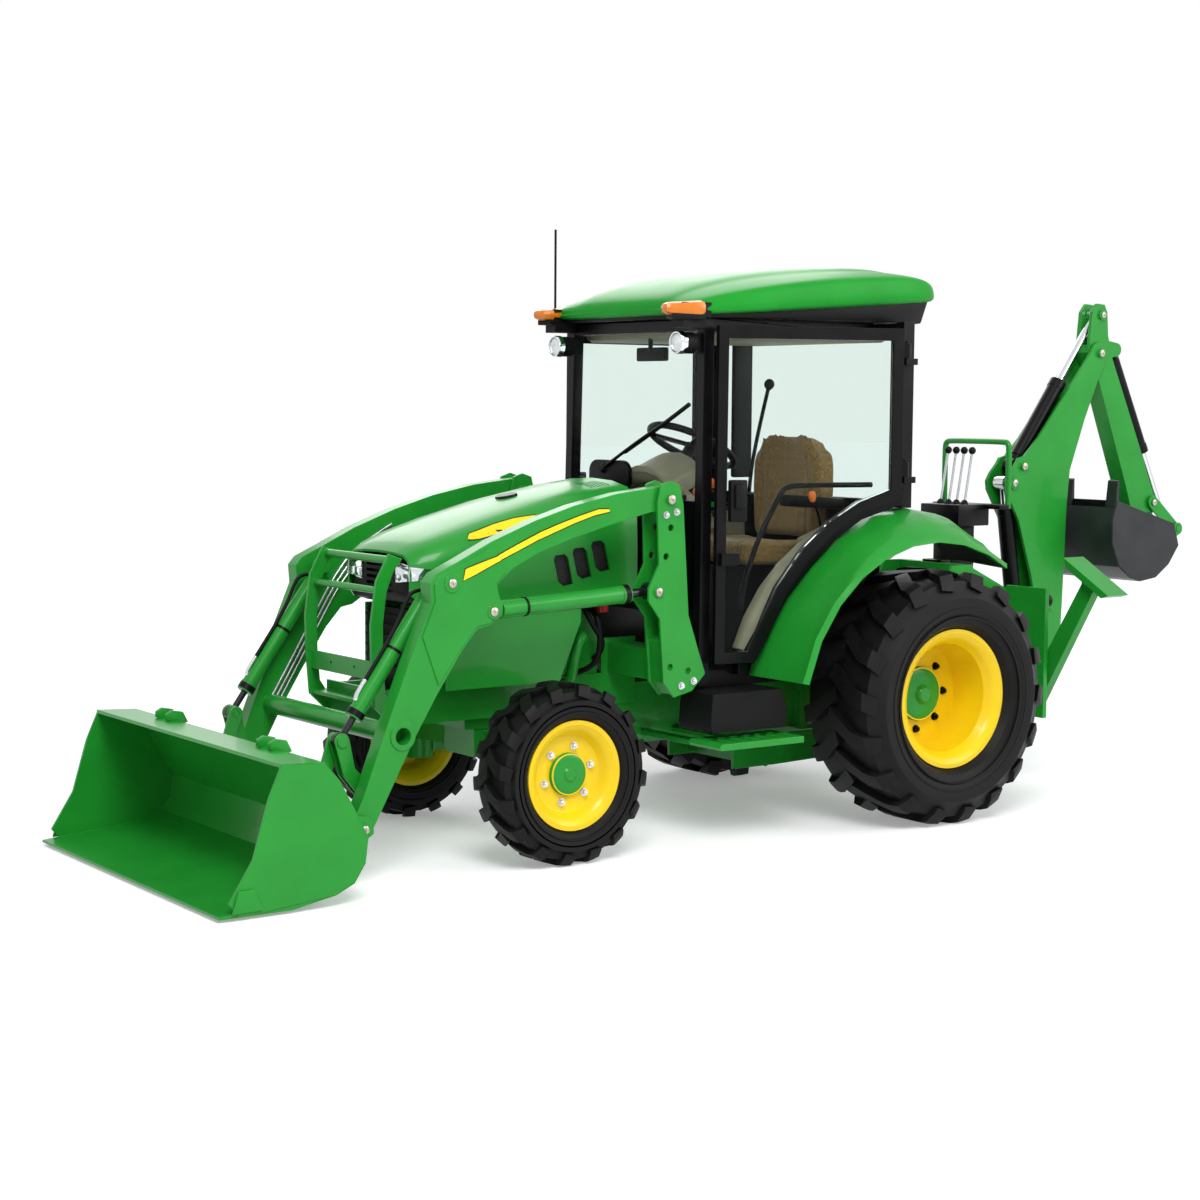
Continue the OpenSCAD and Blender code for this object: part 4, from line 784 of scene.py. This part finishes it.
# Tyres
# Black rubber moulded with slanting lugs and drawn over the rims: a dull, slightly uneven skin. The
# rings round the side walls are made with the wheels below.
wheel_places = ("rear_left", "rear_right", "front_left", "front_right")
tyre_rubber = mottled("tyre_rubber", (0.004, 0.004, 0.004), 0.35, 11.0, 0.35, (0.42, 0.62), Specular_IOR_Level=0.18)
coat_nodes(tyre_rubber, ["tyre_" + place for place in wheel_places])

# Wheel hubs
# Pressed steel rims in yellow enamel on green cast hubs with a turned boss, held by a ring of wheel nuts:
# dark on the rear wheels, bright on the front. Two raised rings run round each side wall of the tyre.
yellow_enamel = enamel("yellow_enamel", (0.88, 0.60, 0.006), 0.04)
coat_nodes(yellow_enamel, ["rim_" + place for place in wheel_places])
wheel_y = {"rear": 0.682, "front": 0.5725}
axle_at = {"rear": (0.0, 0.520), "front": (1.760, 0.340)}
wall_rings = {"rear": ((0.338, 0.2075), (0.372, 0.2105)), "front": ((0.238, 0.1085), (0.262, 0.1085))}


def nut_ring(bm, centre, axis, radius, count, size, height):
    """A ring of six-sided nuts with washers and stud ends, standing on a face across an axis."""
    axis = axis.normalized()
    out = axis.orthogonal().normalized()
    stand = axis.to_track_quat("Z", "Y").to_matrix().to_4x4()
    for step in range(count):
        spot = centre + Matrix.Rotation(2 * math.pi * step / count, 3, axis) @ out * radius
        for segments, wide, narrow, depth, lift in (
                (20, 1.35, 1.3, 0.004, 0.002), (6, 1.0, 0.96, height, 0.004 + height / 2),
                (12, 0.5, 0.42, height * 0.5, 0.004 + height * 1.25)):
            bmesh.ops.create_cone(bm, cap_ends=True, segments=segments, radius1=size * wide, radius2=size * narrow,
                                  depth=depth, matrix=Matrix.Translation(spot + axis * lift) @ stand)


for wheel_end, wheel_side, wheel_body in (("rear", 1, "wheel_rl"), ("rear", -1, "wheel_rr"),
                                          ("front", 1, "wheel_fl"), ("front", -1, "wheel_fr")):
    out_way = Vector((0, wheel_side, 0))
    axle_point = at(axle_at[wheel_end][0], wheel_side * wheel_y[wheel_end], axle_at[wheel_end][1])
    hub_bm, nut_bm, rib_bm = bmesh.new(), bmesh.new(), bmesh.new()
    if wheel_end == "rear":
        turned(hub_bm, [(0.0, 0.004), (0.026, 0.004), (0.034, -0.002), (0.040, -0.016), (0.070, -0.020),
                        (0.096, -0.022), (0.110, -0.028), (0.1125, -0.036), (0.1125, -0.0545), (0.0, -0.0545)],
               axle_point, out_way, 48)
        nut_ring(nut_bm, axle_point - out_way * 0.054, out_way, 0.150, 8, 0.0125, 0.012)
    else:
        turned(hub_bm, [(0.0, 0.066), (0.020, 0.066), (0.026, 0.062), (0.030, 0.058), (0.062, 0.057),
                        (0.074, 0.054), (0.080, 0.048), (0.0805, 0.036), (0.0, 0.036)], axle_point, out_way, 48)
        nut_ring(nut_bm, axle_point + out_way * 0.036, out_way, 0.108, 6, 0.0115, 0.012)
    piece_of("hub_" + wheel_body, hub_bm, green_enamel, wheel_body)
    piece_of("wheel_nuts_" + wheel_body, nut_bm, satin_black if wheel_end == "rear" else rod_chrome, wheel_body,
             sharp=25.0)
    for rib_r, wall in wall_rings[wheel_end]:
        rib = [(rib_r + step, wall + rise) for step, rise in (
            (-0.004, -0.006), (-0.003, 0.0015), (0.003, 0.0015), (0.004, -0.006), (-0.004, -0.006))]
        for face_way in (1, -1):
            turned(rib_bm, rib, axle_point, out_way * face_way, 72)
    piece_of("wall_rings_" + wheel_body, rib_bm, tyre_rubber, wheel_body, sharp=50.0)

# Loader pins
# Each pivot of the loader is a hardened steel pin whose end stands a little proud, domed round a grease
# nipple. Hexagon bolts with washers hold the masts to the tractor.
pin_steel = mottled("pin_steel", (0.46, 0.43, 0.36), 0.12, 40.0, 0.1, (0.25, 0.42), 1.0)


def pin_heads(name, body, places):
    """Pin ends that stand on a face: place in the side view, face, side and radius."""
    bm = bmesh.new()
    for x, z, face, side, radius in places:
        turned(bm, [(0.0, 0.012), (0.004, 0.012), (0.005, 0.008), (radius * 0.75, 0.007), (radius, 0.004),
                    (radius, -0.002), (0.0, -0.002)], at(x, side * face, z), Vector((0, side, 0)), 24)
    piece_of(name, bm, pin_steel, body)


pin_heads("arm_pins", "arms", [(x, z, 0.550, s, 0.017) for s in (1, -1) for x, z in (
    (2.226, 1.068), (2.046, 0.956))])
pin_heads("mast_pins", "tractor", [(x, z, f, s, r) for s in (1, -1) for x, z, f, r in (
    (1.246, 1.349, 0.570, 0.018), (1.300, 0.995, 0.566, 0.017))])
pin_heads("bucket_pins", "bucket", [(2.600, 0.210, 0.566, s, 0.015) for s in (1, -1)])
mast_bolt_bm = bmesh.new()
for bolt_side in (1, -1):
    for bolt_x, bolt_z in ((1.216, 1.300), (1.266, 1.290), (1.125, 0.640), (1.185, 0.625)):
        nut_ring(mast_bolt_bm, at(bolt_x, bolt_side * 0.558, bolt_z), Vector((0, bolt_side, 0)), 0.0, 1, 0.011,
                 0.009)
piece_of("mast_bolts", mast_bolt_bm, rod_chrome, "tractor", sharp=25.0)

# Loader cylinder trim
# Black glands screwed into the ends of the barrels, tie bands, and a black feed line strapped along each
# tilt cylinder with a bright fitting at its lower end.


def on_line(start, end, y, along, off=0.0):
    """A point in the side view along the line from start to end, moved square to it."""
    way = Vector((end[0] - start[0], 0, end[1] - start[1])).normalized()
    return at(start[0], y, start[1]) + way * along + Vector((-way.z, 0, way.x)) * off


lift_line, tilt_line = ((2.046, 0.956), (1.300, 0.995)), ((2.226, 1.068), (2.628, 0.512))
for trim_name, trim_line, trim_y, trim_r, band_at, gland_at, trim_body in (
        ("lift_trim", lift_line, 0.506, 0.034, 0.16, 0.622, "lift_cyl"),
        ("tilt_trim", tilt_line, 0.427, 0.030, 0.30, 0.572, "tilt_cyl")):
    ring_bm = bmesh.new()
    way = on_line(*trim_line, 0, 1.0) - on_line(*trim_line, 0, 0.0)
    for trim_side in (1, -1):
        for spot, wide, thick in ((band_at, 0.010, 0.0025), (gland_at, 0.024, 0.0042)):
            turned(ring_bm, [(trim_r - 0.002, -wide / 2), (trim_r + thick, -wide / 2), (trim_r + thick, wide / 2),
                             (trim_r - 0.002, wide / 2), (trim_r - 0.002, -wide / 2)],
                   on_line(*trim_line, trim_side * trim_y, spot), way, 32)
    piece_of(trim_name, ring_bm, satin_black, trim_body)
feed_line = [(0.060, 0.034), (0.085, 0.062), (0.13, 0.060), (0.20, 0.044), (0.30, 0.0375), (0.40, 0.0375),
             (0.455, 0.0375)]
feed_fitting = [(0.45, 0.0375), (0.49, 0.0375), (0.52, 0.036), (0.53, 0.028)]
for feed_name, feed_path, feed_r, feed_finish, feed_slot in (
        ("tilt_feed_lines", feed_line, 0.0075, grained_black, "black_plastic"),
        ("tilt_feed_fittings", feed_fitting, 0.0085, rod_chrome, "rod_chrome")):
    feed_runs = [[on_line(*tilt_line, side * 0.427, along, off) for along, off in feed_path] for side in (1, -1)]
    rod_run(feed_name, feed_runs, feed_r, feed_finish, "tilt_cyl")

# Bucket wear plates
# Steel plates cut by flame and welded on: they double the lower front corners of the loader bucket, and
# stand in pairs as hooks behind its top lip. Painted green with the bucket.
corner_plate = [(3.232, 0.026), (3.118, 0.030), (3.150, 0.104), (3.208, 0.104)]
lip_hook = [(2.930, 0.512), (2.930, 0.535), (2.905, 0.548), (2.862, 0.540), (2.842, 0.500), (2.872, 0.492)]
wear_bm = bmesh.new()
for wear_side in (1, -1):
    for outline, y0, y1 in ((corner_plate, 0.7722, 0.7802), (lip_hook, 0.455, 0.475), (lip_hook, 0.365, 0.385)):
        plate = wear_bm.faces.new([wear_bm.verts.new(at(x, wear_side * y0, z)) for x, z in outline])
        thick = bmesh.ops.extrude_face_region(wear_bm, geom=[plate])
        bmesh.ops.translate(wear_bm, vec=(0, wear_side * (y1 - y0), 0),
                            verts=[g for g in thick["geom"] if isinstance(g, bmesh.types.BMVert)])
bmesh.ops.recalc_face_normals(wear_bm, faces=wear_bm.faces)
piece_of("bucket_wear_plates", wear_bm, green_enamel, "bucket", edge=0.0025)

# Engine bay
# What shows between the side panel and the loader mast: a green breather pipe, black hoses, a filter can
# and a red battery cap.
engine_pipe = [(1.470, 0.175, 0.60), (1.470, 0.215, 0.62), (1.465, 0.235, 0.70), (1.440, 0.235, 0.785),
               (1.400, 0.215, 0.800), (1.395, 0.160, 0.800)]
engine_hoses = [
    [(1.36, 0.155, 0.92), (1.36, 0.235, 0.90), (1.345, 0.250, 0.80), (1.355, 0.245, 0.70), (1.40, 0.20, 0.655),
     (1.42, 0.155, 0.65)],
    [(1.42, 0.155, 0.95), (1.415, 0.225, 0.925), (1.385, 0.245, 0.85), (1.330, 0.245, 0.78), (1.315, 0.20, 0.72),
     (1.31, 0.155, 0.70)],
    [(1.52, 0.155, 0.90), (1.515, 0.215, 0.885), (1.480, 0.235, 0.86), (1.430, 0.215, 0.875), (1.42, 0.155, 0.88)]]
rod_run("engine_pipe", [[at(*point) for point in engine_pipe]], 0.022, green_enamel, "tractor")
rod_run("engine_hoses", [[at(*point) for point in hose] for hose in engine_hoses], 0.012, grained_black, "tractor")
can_bm = bmesh.new()
turned(can_bm, [(0.0, 0.062), (0.030, 0.060), (0.038, 0.050), (0.040, -0.045), (0.034, -0.058), (0.0, -0.060)],
       at(1.545, 0.190, 0.730), Vector((0, 0.25, 1)), 28)
piece_of("oil_filter", can_bm, satin_black, "tractor")
cap_red = mottled("cap_red", (0.55, 0.012, 0.010), 0.08, 30.0, 0.1, (0.28, 0.4))
red_bm = boxes([(at(1.300, 0.180, 0.905), (0.045, 0.06, 0.035))])
piece_of("battery_cap", red_bm, cap_red, "tractor", edge=0.006)

# Loader pipes
# Three bright steel pipes, bent to the arm's knee and clamped side by side to the inner face of the right
# arm, which feed the bucket's cylinders.
pipe_steel = mottled("pipe_steel", (0.55, 0.56, 0.57), 0.1, 25.0, 0.05, (0.22, 0.36), 1.0)
pipe_runs = []
for pipe_index in range(3):
    offset = 0.017 * pipe_index
    pipe_runs.append([at(x, -0.465, z) for x, z in (
        (1.86 + 0.01 * pipe_index, 1.190 + offset), (2.02 + offset, 1.100 + offset),
        (2.125 + offset, 0.985 + offset * 0.6), (2.20 + offset, 0.865 + offset * 0.5),
        (2.36 + offset, 0.600 + offset * 0.5), (2.405 + offset, 0.53 + offset * 0.5))])
rod_run("loader_pipes", pipe_runs, 0.0055, pipe_steel, "arms")

# Backhoe controls
# A lever box on a folded black stand bolted to the carrier, four bright steel levers with black moulded
# balls and rubber boots, and a green tube bent round them as a guard.
stand_plates = [
    ((-0.955, -0.148, 0.8625), (-0.735, 0.148, 0.900)), ((-0.900, -0.060, 0.895), (-0.760, 0.060, 1.170)),
    ((-0.930, -0.120, 1.165), (-0.735, 0.120, 1.262)), ((-0.976, -0.212, 1.241), (-0.900, 0.212, 1.262)),
    ((-0.740, -0.060, 1.0005), (-0.692, 0.060, 1.012)), ((-0.775, -0.055, 0.900), (-0.735, 0.055, 1.012))]
stand_bm = boxes([((at(*low) + at(*high)) / 2, at(*high) - at(*low)) for low, high in stand_plates])
station_stand = piece_of("station_stand", stand_bm, satin_black, "tractor", edge=0.004)
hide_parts("backhoe_station")
rail_path = [(-0.200, 1.245), (-0.200, 1.36), (-0.200, 1.50), (-0.196, 1.541), (-0.155, 1.545), (0.0, 1.545),
             (0.155, 1.545), (0.196, 1.541), (0.200, 1.50), (0.200, 1.36), (0.200, 1.245)]
rod_run("station_rail", [[at(-0.965, y, z) for y, z in rail_path]], 0.0135, green_enamel, "tractor")
lever_y = (-0.075, -0.025, 0.025, 0.075)
rod_run("station_levers", [[at(-0.815, y, 1.255), at(-0.838, y, 1.380), at(-0.860, y, 1.505)] for y in lever_y],
        0.006, rod_chrome, "tractor", 2)
ball_bm = bmesh.new()
for y in lever_y:
    turned(ball_bm, [(0.0, 0.017), (0.009, 0.0145), (0.015, 0.007), (0.017, 0.0), (0.015, -0.008), (0.009, -0.016),
                     (0.0, -0.018)], at(-0.860, y, 1.505), Vector((0, 0, 1)), 20)
    turned(ball_bm, [(0.006, 0.020), (0.012, 0.016), (0.018, 0.004), (0.020, 0.0), (0.006, 0.0), (0.006, 0.020)],
           at(-0.816, y, 1.262), Vector((-0.18, 0, 1)), 20)
piece_of("station_knobs", ball_bm, grained_black, "tractor")

# Backhoe pins
# Hardened steel pins through the pivots of swing post, boom, dipper and digging bucket. Like the loader's
# they show a domed end with a grease nipple on each side.
pin_heads("post_pins", "post", [(x, z, 0.096, s, 0.020) for s in (1, -1) for x, z in (
    (-1.420, 0.500), (-1.245, 0.660))])
pin_heads("boom_pins", "boom", [(x, z, f, s, 0.017) for s in (1, -1) for x, z, f in (
    (-1.699, 1.956, 0.080), (-1.198, 1.428, 0.080), (-1.139, 1.352, 0.078))])
pin_heads("dipper_pins", "dipper", [(x, z, f, s, 0.015) for s in (1, -1) for x, z, f in (
    (-1.729, 2.137, 0.056), (-2.115, 1.240, 0.066))])
pin_heads("dig_bucket_pins", "dig_bucket", [(-2.045, 1.150, 0.114, s, 0.016) for s in (1, -1)])
